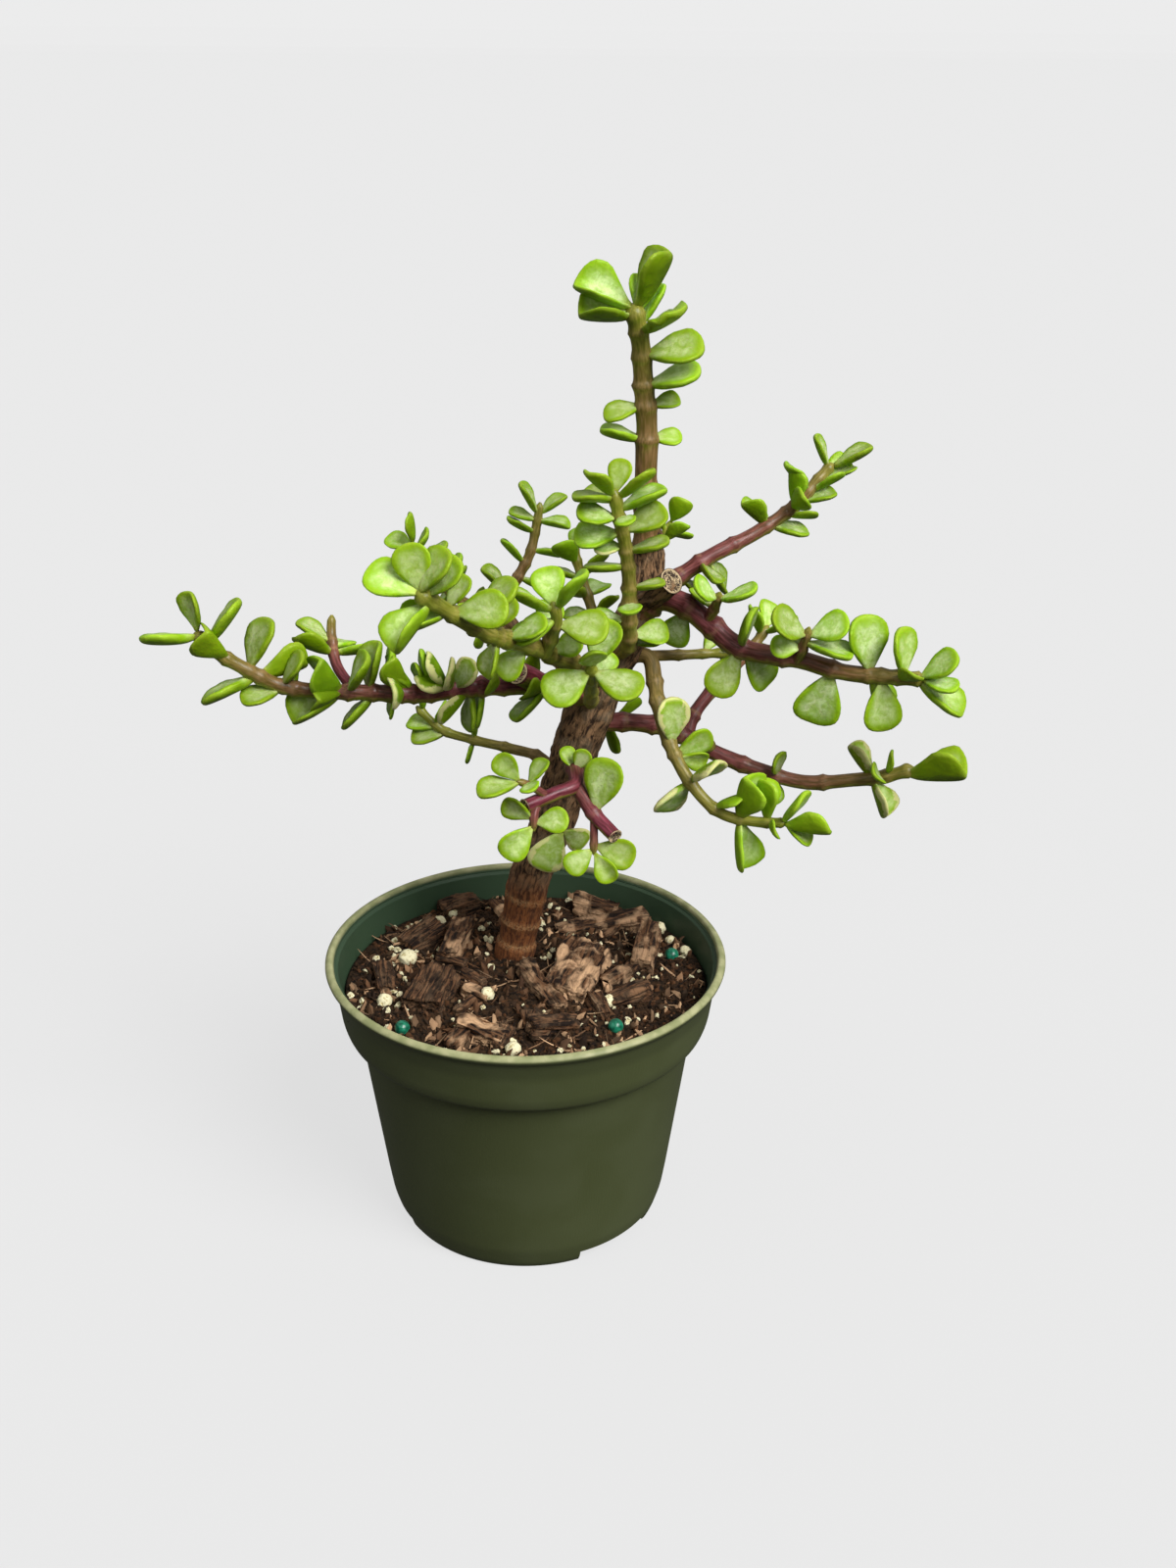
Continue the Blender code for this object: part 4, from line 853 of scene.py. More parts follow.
def chip_material(look):
    """Split pine bark: red-brown layers with dark cracks between them and paler, greyer faces."""
    material, t = new_material("split_pine_bark")
    grain = add(t, ATTRIBUTE, out="Vector", attribute_name="grain")
    draw = add(t, ATTRIBUTE, out="Fac", attribute_name="draw")
    # Layers 0.7 mm thick that run 7 mm along a chip, patches of 5 mm, and grit of 0.6 mm
    run = add(t, MAPPING, {"Vector": grain, "Scale": (0.10, 0.8, 1.0)})
    layers = add(t, NOISE, {"Vector": run, "Scale": 1 / 0.0007, "Detail": 4.0, "Roughness": 0.65,
                            "Distortion": 0.8})
    patch = add(t, NOISE, {"Vector": grain, "Scale": 1 / 0.005, "Detail": 3.0, "Distortion": 0.5})
    cracks, patch = [add(t, RANGE, {"Value": part, "From Min": 0.42, "From Max": 0.62}, **SOFT)
                     for part in (layers, patch)]
    bare = add(t, RANGE, {"Value": draw, "From Min": 0.25, "From Max": 0.75, "To Min": 0.10}, **SOFT)
    bare = add(t, MATH, {0: bare, 1: patch}, **TIMES)
    damp = add(t, NOISE, {"Vector": grain, "Scale": 1 / 0.0022, "Detail": 4.0, "Roughness": 0.7,
                          "Distortion": 1.0})
    damp = add(t, RANGE, {"Value": damp, "From Min": 0.52, "From Max": 0.66, "To Max": 0.9}, **SOFT)
    wet = add(t, RANGE, {"Value": draw, "From Min": 0.75, "From Max": 0.25, "To Min": 0.35}, **SOFT)
    damp = add(t, MATH, {0: damp, 1: wet}, **TIMES)
    grit = add(t, NOISE, {"Vector": grain, "Scale": 1 / 0.0006, "Detail": 2.0})
    shade = look.chip_dark
    for part, over in ((cracks, look.chip), (bare, look.chip_light), (damp, look.peat)):
        shade = add(t, MIX, {0: part, 6: shade, 7: over}, 2, **RGBA)
    deep = add(t, BUMP, {"Height": layers, "Distance": 0.0011})
    fine = add(t, BUMP, {"Height": grit, "Distance": 0.0002, "Normal": deep})
    return surfaced(material, {"Base Color": shade, "Normal": fine, "Roughness": 0.88,
                               "Specular IOR Level": 0.20})


def perlite_material(look):
    """Expanded perlite: chalky, pitted and cream where the mix has stained it."""
    material, t = new_material("expanded_perlite")
    place = add(t, COORDINATE, out="Object")
    pits = add(t, NOISE, {"Vector": place, "Scale": 1 / 0.0009, "Detail": 4.0})
    stain = add(t, RANGE, {"Value": pits, "From Min": 0.30, "From Max": 0.50}, **SOFT)
    shade = add(t, MIX, {0: stain, 6: look.perlite_stain, 7: look.perlite}, 2, **RGBA)
    rough = add(t, BUMP, {"Height": pits, "Distance": 0.0004})
    return surfaced(material, {"Base Color": shade, "Normal": rough, "Roughness": 0.9,
                               "Specular IOR Level": 0.20})


def prill_material(look):
    """Resin-coated fertiliser: a smooth deep green bead with a small sharp highlight."""
    material, t = new_material("coated_fertiliser_prill")
    place = add(t, COORDINATE, out="Object")
    cloud = add(t, NOISE, {"Vector": place, "Scale": 1 / 0.0012, "Detail": 3.0})
    pale = add(t, RANGE, {"Value": cloud, "From Min": 0.35, "From Max": 0.65}, **SOFT)
    shade = add(t, MIX, {0: pale, 6: look.prill, 7: look.prill_light}, 2, **RGBA)
    uneven = add(t, BUMP, {"Height": cloud, "Distance": 0.0001})
    return surfaced(material, {"Base Color": shade, "Normal": uneven, "Roughness": 0.28, "IOR": 1.5})


def paper_material(look):
    """Matt studio paper, lit evenly from all round, so that it looks one flat tone and takes only the
    faintest shadow."""
    material, _ = new_material("studio_paper")
    return surfaced(material, {
        "Base Color": [c * look.soak for c in look.paper[:3]] + [1.0], "Emission Color": look.paper,
        "Emission Strength": look.glow, "Roughness": 0.95, "Specular IOR Level": 0.0,
    })


def new_object(name, data):
    """An object of this name in the scene."""
    thing = bpy.data.objects.new(name, data)
    bpy.context.scene.collection.objects.link(thing)
    return thing


def mesh_of(name, points, faces=(), edges=()):
    """A mesh from points in millimetres."""
    mesh = bpy.data.meshes.new(name)
    mesh.from_pydata([tuple(np.asarray(p, float) * MM) for p in points], edges, faces)
    mesh.update()
    return mesh


def line_of(name, points):
    """A mesh of one line through points in millimetres."""
    return mesh_of(name, points, edges=[(i, i + 1) for i in range(len(points) - 1)])


def keep(mesh, **fields):
    """Stores a number or a vector a point on a mesh, under the names that materials and trees read."""
    for name, values in fields.items():
        values = np.asarray(values, np.float32)
        kind, key = ("FLOAT_VECTOR", "vector") if values.ndim == 2 else ("FLOAT", "value")
        mesh.attributes.new(name, kind, "POINT").data.foreach_set(key, values.ravel())
    return mesh


def places_of(mesh):
    """The points of a mesh, in metres."""
    return np.array([v.co for v in mesh.vertices])


def join(name, meshes):
    """One mesh of several that hold the same attributes. The others are removed."""
    whole = bmesh.new()
    for mesh in meshes:
        whole.from_mesh(mesh)
        bpy.data.meshes.remove(mesh)
    mesh = bpy.data.meshes.new(name)
    whole.to_mesh(mesh)
    whole.free()
    return mesh


def smooth(mesh):
    """Shades every face of a mesh smooth."""
    mesh.polygons.foreach_set("use_smooth", [True] * len(mesh.polygons))


def finished(piece, slot, *nodes):
    """Gives a piece its body and hides the solids that it stands for. Its finish, given as slot, is not
    used.
    """
    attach(piece, BODY)
    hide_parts(*nodes)


def settled(thing):
    """Turns what a thing's modifiers make into its own plain mesh, and clears them."""
    graph = bpy.context.evaluated_depsgraph_get()
    result = bpy.data.meshes.new_from_object(thing.evaluated_get(graph))
    thing.modifiers.clear()
    old, thing.data = thing.data, result
    bpy.data.meshes.remove(old)
    result.name = thing.name
    return thing


def new_tree(name, sockets):
    """A geometry tree with named inputs, given as {name: (kind, default)}: the tree and its inputs."""
    tree = bpy.data.node_groups.new(name, "GeometryNodeTree")
    tree.is_modifier = True
    tree.interface.new_socket("Geometry", in_out="INPUT", socket_type="NodeSocketGeometry")
    for key, (kind, value) in {**sockets, "Material": ("Material", None)}.items():
        socket = tree.interface.new_socket(key, in_out="INPUT", socket_type="NodeSocket" + kind)
        if value is not None:
            socket.default_value = value
    tree.interface.new_socket("Geometry", in_out="OUTPUT", socket_type="NodeSocketGeometry")
    return tree, tree.nodes.new("NodeGroupInput").outputs


def end_tree(tree, geometry, given):
    """Ends a tree: instances are realised and the material is set."""
    geometry = add(tree, "GeometryNodeRealizeInstances", {0: geometry})
    geometry = add(tree, "GeometryNodeSetMaterial", {0: geometry, "Material": given["Material"]})
    tree.links.new(geometry, tree.nodes.new("NodeGroupOutput").inputs[0])
    return tree


def grown(name, mesh, *steps):
    """A plain mesh object from a mesh and the trees that grow it, each given as (tree, its inputs)."""
    thing = new_object(name, mesh)
    for tree, values in steps:
        modifier = thing.modifiers.new(tree.name, "NODES")
        modifier.node_group = tree
        for item in tree.interface.items_tree:
            if item.in_out == "INPUT" and item.name in values:
                modifier[item.identifier] = values[item.name]
    return settled(thing)


STORE, NAMED = "GeometryNodeStoreNamedAttribute", "GeometryNodeInputNamedAttribute"
VECTOR, RANDOM, COMBINE = "ShaderNodeVectorMath", "FunctionNodeRandomValue", "ShaderNodeCombineXYZ"
MOVE, SMOOTH = "GeometryNodeSetPosition", "GeometryNodeSetShadeSmooth"
SPREAD = "GeometryNodeInstanceOnPoints"
AS_VECTOR = {"data_type": "FLOAT_VECTOR"}
SCALED = {"operation": "SCALE"}
TIMES_PLUS = {"operation": "MULTIPLY_ADD"}


def stem_tree():
    """Sweeps a ring along every line of a mesh, at the line's own girth, and closes both ends."""
    t, given = new_tree("jade_stem", {"Sides": ("Int", 16)})
    girth, station = [add(t, NAMED, {"Name": name}) for name in ("girth", "station")]
    line = add(t, "GeometryNodeMeshToCurve", {0: given["Geometry"]})
    ring = add(t, "GeometryNodeCurvePrimitiveCircle", {"Resolution": given["Sides"], "Radius": 1.0})
    place = add(t, "GeometryNodeInputPosition")
    ring = add(t, STORE, {0: ring, "Name": "ring", "Value": place}, **AS_VECTOR)
    tube = add(t, "GeometryNodeCurveToMesh", {0: line, 1: ring, "Scale": girth, "Fill Caps": True})
    around = add(t, NAMED, {"Name": "ring"}, **AS_VECTOR)
    around = add(t, VECTOR, {0: around, "Scale": girth}, **SCALED)
    grain = add(t, VECTOR, {0: around, 1: add(t, COMBINE, {2: station})})
    tube = add(t, STORE, {0: tube, "Name": "grain", "Value": grain}, **AS_VECTOR)
    upward = add(t, SEPARATE, {0: add(t, "GeometryNodeInputNormal")}, 2)
    tube = add(t, STORE, {0: tube, "Name": "upward", "Value": upward})
    return end_tree(t, add(t, SMOOTH, {0: tube}), given)


def relief_tree():
    """Rounds a mesh and pushes each loose point in or out along its normal, by noise on its own grain."""
    t, given = new_tree("jade_relief", {
        "Level": ("Int", 0), "Crease": ("Float", 0.0), "Depth": ("Float", 0.0005),
        "Size": ("Float", 0.003), "Stretch": ("Vector", (1.0, 1.0, 1.0)), "Seed": ("Float", 0.0),
    })
    body = add(t, "GeometryNodeSubdivisionSurface",
               {0: given["Geometry"], "Level": given["Level"], "Edge Crease": given["Crease"]})
    grain = add(t, NAMED, {"Name": "grain"}, **AS_VECTOR)
    grain = add(t, VECTOR, {0: grain, 1: given["Stretch"]}, **TIMES)
    scale = add(t, MATH, {0: 1.0, 1: given["Size"]}, operation="DIVIDE")
    rough = add(t, NOISE, {"Vector": grain, "W": given["Seed"], "Scale": scale, "Detail": 3.0},
                noise_dimensions="4D")
    rough = add(t, RANGE, {"Value": rough, "From Min": 0.25, "From Max": 0.75, "To Min": -1.0})
    for part in (add(t, NAMED, {"Name": "loose"}), given["Depth"]):
        rough = add(t, MATH, {0: rough, 1: part}, **TIMES)
    push = add(t, VECTOR, {0: add(t, "GeometryNodeInputNormal"), "Scale": rough}, **SCALED)
    body = add(t, MOVE, {0: body, "Offset": push})
    return end_tree(t, add(t, SMOOTH, {0: body}), given)


def blade_tree():
    """Puts a blade on every point, laid along the point's axis, and bends, cups, folds and waves it."""
    t, given = new_tree("jade_blades", {"Blade": ("Object", None), "Waves": ("Float", 17.0)})
    blade = add(t, "GeometryNodeObjectInfo", {0: given["Blade"]}, "Geometry")
    axis, face = [add(t, NAMED, {"Name": name}, **AS_VECTOR) for name in ("axis", "face")]
    size, width, along, reach, bend, cup, fold, wave = [
        add(t, NAMED, {"Name": name})
        for name in ("size", "width", "along", "reach", "bend", "cup", "fold", "wave")]
    turn = add(t, "FunctionNodeAxesToRotation", {0: axis, 1: face}, primary_axis="X",
               secondary_axis="Z")
    wide, far, side = [add(t, MATH, {0: a, 1: b}, **TIMES)
                       for a, b in ((size, width), (along, along), (reach, reach))]
    scale = add(t, COMBINE, {0: size, 1: wide, 2: size})
    leaves = add(t, SPREAD, {0: given["Geometry"], "Instance": blade, "Rotation": turn, "Scale": scale})
    leaves = add(t, "GeometryNodeRealizeInstances", {0: leaves})
    crease = add(t, MATH, {0: reach}, operation="ABSOLUTE")
    phase = add(t, MATH, {0: along, 1: given["Waves"], 2: reach}, **TIMES_PLUS)
    ripple = add(t, MATH, {0: phase}, operation="SINE")
    ripple = add(t, MATH, {0: ripple, 1: side}, **TIMES)
    rise = add(t, MATH, {0: bend, 1: far}, **TIMES)
    for share, shape in ((cup, side), (fold, crease), (wave, ripple)):
        rise = add(t, MATH, {0: share, 1: shape, 2: rise}, **TIMES_PLUS)
    rise = add(t, MATH, {0: rise, 1: size}, **TIMES)
    push = add(t, VECTOR, {0: face, "Scale": rise}, **SCALED)
    leaves = add(t, MOVE, {0: leaves, "Offset": push})
    return end_tree(t, add(t, SMOOTH, {0: leaves}), given)


def scatter_tree():
    """Scatters turned copies of one piece over the loose part of a surface, each with its own draw."""
    t, given = new_tree("jade_scatter", {
        "Piece": ("Object", None), "Density": ("Float", 100.0), "Least": ("Float", 0.5),
        "Most": ("Float", 1.5), "Tumble": ("Float", 3.14), "Lift": ("Float", 0.0), "Seed": ("Int", 1),
    })
    loose = add(t, NAMED, {"Name": "loose"})
    dense = add(t, MATH, {0: loose, 1: given["Density"]}, **TIMES)
    spots = add(t, "GeometryNodeDistributePointsOnFaces",
                {0: given["Geometry"], "Density": dense, "Seed": given["Seed"]})
    back = add(t, MATH, {0: given["Tumble"], 1: -1.0}, **TIMES)
    least = add(t, COMBINE, {0: back, 1: back})
    most = add(t, COMBINE, {0: given["Tumble"], 1: given["Tumble"], 2: math.tau})
    turn = add(t, RANDOM, {0: least, 1: most, "Seed": given["Seed"]}, **AS_VECTOR)
    turn = add(t, "FunctionNodeEulerToRotation", {0: turn})
    second, third = [add(t, MATH, {0: given["Seed"], 1: step}) for step in (1.0, 2.0)]
    size = add(t, RANDOM, {2: given["Least"], 3: given["Most"], "Seed": second}, 1)
    draw = add(t, RANDOM, {"Seed": third}, 1)
    spots = add(t, STORE, {0: spots, "Name": "draw", "Value": draw})
    spots = add(t, MOVE, {0: spots, "Offset": add(t, COMBINE, {2: given["Lift"]})})
    piece = add(t, "GeometryNodeObjectInfo", {0: given["Piece"]}, "Geometry")
    bits = add(t, SPREAD, {0: spots, "Instance": piece, "Rotation": turn, "Scale": size})
    return end_tree(t, bits, given)


def on_circle(radius, angle):
    """The x and y of a point on a circle, from its angle in radians."""
    return radius * math.cos(angle), radius * math.sin(angle)


def turned_mesh(name, profile, sides):
    """A closed turned mesh. The profile runs from the axis at the top down to the axis at the foot."""
    rows = profile[1:-1]
    points = [(0.0, 0.0, profile[0][1])]
    for radius, height in rows:
        points += [(*on_circle(radius, math.tau * i / sides), height) for i in range(sides)]
    points.append((0.0, 0.0, profile[-1][1]))
    last = len(points) - 1
    faces = []
    for i in range(sides):
        j = (i + 1) % sides
        faces.append((0, 1 + i, 1 + j))
        for k in range(len(rows) - 1):
            a, b = 1 + k * sides, 1 + (k + 1) * sides
            faces.append((a + i, b + i, b + j, a + j))
        a = 1 + (len(rows) - 1) * sides
        faces.append((a + j, a + i, last))
    return mesh_of(name, points, faces)


def front_angle(degrees):
    """Radians about the axis of a bearing measured from the front towards the right."""
    return math.radians(degrees - 90.0)


def notch_blocks(grow):
    """One block at each drain notch, larger by grow on its inner, upper and end faces."""
    blocks = []
    inner, outer = FOOT_RADIUS - NOTCH_DEPTH - grow, FOOT_RADIUS + CUT_OVER
    half = math.radians(NOTCH_SPREAD / 2) + grow / FOOT_RADIUS
    for middle in NOTCH_MIDDLES:
        ring = [on_circle(radius, front_angle(middle) + step * half)
                for radius, steps in ((inner, NOTCH_STEPS[::-1]), (outer, NOTCH_STEPS))
                for step in steps]
        n = len(ring)
        points = [(x, y, z) for z in (-CUT_OVER, NOTCH_HEIGHT + grow) for x, y in ring]
        faces = [tuple(range(n - 1, -1, -1)), tuple(range(n, 2 * n))]
        faces += [(i, (i + 1) % n, (i + 1) % n + n, i + n) for i in range(n)]
        blocks.append(new_object("notch", mesh_of("notch", points, faces)))
    return blocks


def drain_holes():
    """A round hole up through the roof of each notch."""
    holes = []
    top, low = NOTCH_HEIGHT + CUT_OVER, NOTCH_HEIGHT - WALL
    profile = [(0, top), (DRAIN_RADIUS, top), (DRAIN_RADIUS, low), (0, low)]
    for middle in NOTCH_MIDDLES:
        hole = turned_mesh("drain", profile, DRAIN_SIDES)
        place = on_circle(FOOT_RADIUS - NOTCH_DEPTH / 2, front_angle(middle))
        hole.transform(Matrix.Translation(Vector((*place, 0)) * MM))
        holes.append(new_object("drain", hole))
    return holes


def carved(thing, cutters):
    """Cuts the cutters out of a piece in one Boolean, and removes them."""
    group = bpy.data.collections.new("cutters")
    for cutter in cutters:
        group.objects.link(cutter)
    modifier = thing.modifiers.new("Carve", "BOOLEAN")
    modifier.operation, modifier.solver = "DIFFERENCE", "EXACT"
    modifier.operand_type, modifier.collection = "COLLECTION", group
    settled(thing)
    for cutter in cutters:
        bpy.data.objects.remove(cutter, do_unlink=True)
    bpy.data.collections.remove(group)


def bent(corners):
    """A profile whose corners, other than its two ends, are each turned into a soft bend."""
    corners = np.array(corners, float)
    points = [corners[0]]
    for a, b, c in zip(corners, corners[1:], corners[2:]):
        back, on = a - b, c - b
        near = b + back * min(BEND_REACH / np.linalg.norm(back), 0.5)
        far = b + on * min(BEND_REACH / np.linalg.norm(on), 0.5)
        points += [near * (1 - t) ** 2 + b * 2 * t * (1 - t) + far * t * t for t in BEND_SHARES]
    return [tuple(point) for point in points + [corners[-1]]]


def make_pot(look):
    """The turned wall with its lip, hollowed and notched in two Booleans."""
    lip = [(LIP_INNER_RADIUS, LIP_LEDGE), (LIP_INNER_RADIUS + LEDGE_STEP, POT_HEIGHT)]
    outside = [(0, LIP_LEDGE)] + bent(lip + POT_OUTSIDE) + [(0, 0)]
    pot = new_object("nursery_pot", turned_mesh("nursery_pot", outside, look.sides))
    mouth = POT_HEIGHT + CUT_OVER
    opening = LIP_INNER_RADIUS - LEDGE_STEP
    inside = [(0, mouth), (opening, mouth), (opening, LIP_LEDGE - LEDGE_STEP)]
    inside += POT_INSIDE[::-1] + [(CAVITY_FOOT, WALL), (0, WALL)]
    cavity = new_object("cavity", turned_mesh("cavity", inside, look.sides))
    carved(cavity, notch_blocks(WALL))
    carved(pot, [cavity] + notch_blocks(0.0) + drain_holes())
    mesh = pot.data
    places = places_of(mesh) / MM
    radius, height = np.hypot(places[:, 0], places[:, 1]), places[:, 2]
    sizes = np.array(sorted((z, r) for r, z in POT_OUTSIDE))
    depth = (np.interp(height, sizes[:, 0], sizes[:, 1]) - radius) / WALL
    keep(mesh, lip=np.clip((height - LIP_FROM) / LIP_FADE, 0, 1),
         inner=np.clip(depth * INNER_SLOPE - INNER_FROM, 0, 1))
    smooth(mesh)
    mesh.set_sharp_from_angle(angle=math.radians(SHARP_BEND))
    mesh.materials.clear()
    mesh.materials.append(pot_material(look))
    finished(pot, "pot_plastic", "pot")


def mound_height(x, y):
    """Height of the mix at a point, without its lumps."""
    reach = math.hypot(x, y) / SOIL_MOUND_REACH
    return SOIL_EDGE_HEIGHT + SOIL_MOUND * (1 - reach ** 2)


def bed_mesh():
    """The mix from above, in fine rings, with its side down the pot's wall and a flat foot."""
    radii, heights = zip(*POT_INSIDE)
    rims = [float(np.interp(z, heights, radii)) - FIT_GAP - SOIL_SLACK for z in SOIL_WALL_HEIGHTS]
    rows = [(rims[0] * k / BED_RINGS, None) for k in range(1, BED_RINGS)]
    rows += list(zip(rims, SOIL_WALL_HEIGHTS))
    rows.append((CAVITY_FOOT - FIT_GAP, NOTCH_HEIGHT + WALL + FIT_GAP))
    profile = [(0, mound_height(0, 0))]
    profile += [(r, mound_height(r, 0) if z is None else z) for r, z in rows] + [(0, rows[-1][1])]
    mesh = turned_mesh("bed", profile, BED_SIDES)
    places = places_of(mesh)
    reach = np.hypot(places[:, 0], places[:, 1]) / MM
    top = places[:, 2] > (SOIL_EDGE_HEIGHT - LOOSE_DROP) * MM
    return keep(mesh, loose=np.clip((rims[0] - reach) / LOOSE_FADE, 0, 1) * top, grain=places,
                draw=np.zeros(len(places)))


def turned(points, heading, tilt):
    """Points turned about Z by a heading and tipped up at one end, both in degrees."""
    h, t = math.radians(heading), math.radians(tilt)
    tip = np.array([[math.cos(t), 0, -math.sin(t)], [0, 1, 0], [math.sin(t), 0, math.cos(t)]])
    spin = np.array([[math.cos(h), -math.sin(h), 0], [math.sin(h), math.cos(h), 0], [0, 0, 1]])
    return points @ tip.T @ spin.T


def bark_chip(x, y, length, width, thickness, heading, tilt, draw):
    """A split chip of bark: a box whose eight corners are each drawn in by a different share."""
    signs = np.array([(-1, -1, -1), (1, -1, -1), (1, 1, -1), (-1, 1, -1),
                      (-1, -1, 1), (1, -1, 1), (1, 1, 1), (-1, 1, 1)])
    shares = draw.uniform(CHIP_TAPER, 1.0, (8, 3))
    local = signs * shares * np.array((length, width, thickness)) / 2
    corners = turned(local, heading, tilt) + (x, y, mound_height(x, y) + CHIP_PROUD * thickness)
    faces = [(0, 3, 2, 1), (4, 5, 6, 7), (0, 1, 5, 4), (1, 2, 6, 5), (2, 3, 7, 6), (3, 0, 4, 7)]
    own = sum(a * b for a, b in zip((x, y, length), CHIP_DRAW)) % 1.0
    shift = np.array((x, y, length)) * CHIP_SHIFT
    return keep(mesh_of("chip", corners, faces), grain=(local + shift) * MM, loose=np.ones(8),
                draw=np.full(8, own))


def chip_meshes():
    """The large chips of the table and the small ones, from the same draws as the solid mix."""
    draw = np.random.default_rng(DRAW_SEED)
    draw.uniform(size=SOIL_SIDES * (SOIL_RINGS + len(SOIL_WALL_HEIGHTS) + 1))
    large = [bark_chip(*row, draw) for row in BARK_CHIPS]
    small = []
    for _ in range(SMALL_CHIPS):
        reach = CHIP_REACH * math.sqrt(draw.uniform())
        x, y = on_circle(reach, draw.uniform(0, math.tau))
        length = draw.uniform(*SMALL_CHIP_LENGTH)
        heading, tilt = draw.uniform(0, 360), draw.uniform(0, SMALL_CHIP_TILT)
        width = length * SMALL_CHIP_WIDTH
        if math.hypot(x - COLLAR[0], y - COLLAR[1]) > COLLAR_ROOM:
            small.append(bark_chip(x, y, length, width, width, heading, tilt, draw))
    return join("large_chips", large), join("small_chips", small)


def ball_mesh(name, rows):
    """Balls of given places and sizes, sunk in the mix to just below their middles."""
    balls = []
    for x, y, size in rows:
        ball = bmesh.new()
        bmesh.ops.create_icosphere(ball, subdivisions=BALL_LEVEL, radius=size / 2)
        local = np.array([v.co for v in ball.verts])
        faces = [[v.index for v in face.verts] for face in ball.faces]
        ball.free()
        mesh = mesh_of(name, local + (x, y, mound_height(x, y) + size * GRAIN_PROUD), faces)
        balls.append(keep(mesh, grain=(local + (x, y, size * BALL_SHIFT)) * MM,
                          loose=np.ones(len(local))))
    return join(name, balls)


def crumb_object(name, level, sides):
    """One loose crumb, 1 mm long: a small ball with its points pushed about and its sides drawn in."""
    crumb = bmesh.new()
    bmesh.ops.create_icosphere(crumb, subdivisions=level, radius=0.5)
    draw = np.random.default_rng(DRAW_SEED + level)
    for v in crumb.verts:
        v.co *= draw.uniform(*CRUMB_LUMPS)
        v.co.y *= sides[0]
        v.co.z *= sides[1]
    mesh = bpy.data.meshes.new(name)
    crumb.to_mesh(mesh)
    crumb.free()
    mesh.transform(Matrix.Scale(MM, 4))
    return new_object(name, mesh)


def fibre_object():
    """One bark fibre: a thin splinter of four sides, bowed and drawn out to both ends."""
    points, faces = [], []
    for k, x in enumerate(np.linspace(-FIBRE_REACH, FIBRE_REACH, FIBRE_RINGS)):
        half = FIBRE_HALF_WIDTH * (1 - (x / FIBRE_TAPER) ** 2)
        rise, deep = FIBRE_BOW * x * x, half * FIBRE_DEPTH
        points += [(x, half, rise), (x, 0, rise + deep), (x, -half, rise), (x, 0, rise - deep)]
        if k:
            faces += band(4 * (k - 1), 4 * k, 4)
    faces += [(3, 2, 1, 0), tuple(range(len(points) - 4, len(points)))]
    return new_object("fibre", mesh_of("fibre", points, faces))


def band(a, b, n):
    """Faces between two rings of n points, whose first points are a and b."""
    return [(a + i, a + (i + 1) % n, b + (i + 1) % n, b + i) for i in range(n)]


def make_mix(look):
    """The bed of peat, and all that lies in it: chips, perlite, prills and what is scattered."""
    relief, scatter = relief_tree(), scatter_tree()
    fines, bark, white = mix_material(look), chip_material(look), perlite_material(look)
    lumps = {"Depth": 1.3 * MM, "Size": 7 * MM, "Seed": 1.0, "Material": fines}
    crumble = {"Depth": 0.55 * MM, "Size": 1.8 * MM, "Seed": 2.0, "Material": fines}
    bed = grown("potting_mix_bed", bed_mesh(), (relief, lumps), (relief, crumble))
    large, small = chip_meshes()
    coarse = {"Crease": 0.80, "Depth": 1.1 * MM, "Size": 4 * MM, "Stretch": (0.35, 1.0, 1.0),
              "Seed": 3.0, "Material": bark}
    fine = {"Depth": 0.55 * MM, "Size": 1.1 * MM, "Stretch": (0.16, 0.7, 1.5), "Seed": 4.0,
            "Material": bark}
    pitted = {"Depth": 0.32 * MM, "Size": 1.5 * MM, "Seed": 5.0, "Material": white}
    coated = {"Depth": 0.04 * MM, "Size": 2 * MM, "Material": prill_material(look)}
    beads = [(x, y, PRILL_SIZE) for x, y in PRILLS]
    pieces = [
        bed,
        grown("bark_chips", large, (relief, {**coarse, "Level": 5}), (relief, fine)),
        grown("small_bark_chips", small, (relief, {**coarse, "Level": 3}), (relief, fine)),
        grown("perlite", ball_mesh("perlite", PERLITE), (relief, pitted)),
        grown("fertiliser_prills", ball_mesh("prills", beads), (relief, coated)),
    ]
    helpers = {
        "loose_crumbs": (crumb_object("crumb", 1, CRUMB_SIDES), look.crumbs, fines),
        "bark_fibres": (fibre_object(), look.fibres, bark),
        "bark_bits": (crumb_object("splinter", 1, SPLINTER_SIDES), look.bark_bits, bark),
        "small_perlite": (crumb_object("grain", 2, CRUMB_SIDES), look.beads, white),
    }
    area = math.pi * (POT_INSIDE[-2][0] * MM) ** 2
    for name, (helper, number_of, finish) in helpers.items():
        values = dict(zip(SCATTER_INPUTS, SCATTERED[name]))
        values.update({"Piece": helper, "Density": number_of / area, "Material": finish})
        pieces.append(grown(name, bed.data.copy(), (scatter, values)))
        bpy.data.objects.remove(helper, do_unlink=True)
    for piece in pieces:
        finished(piece, "potting_mix", "potting_mix")


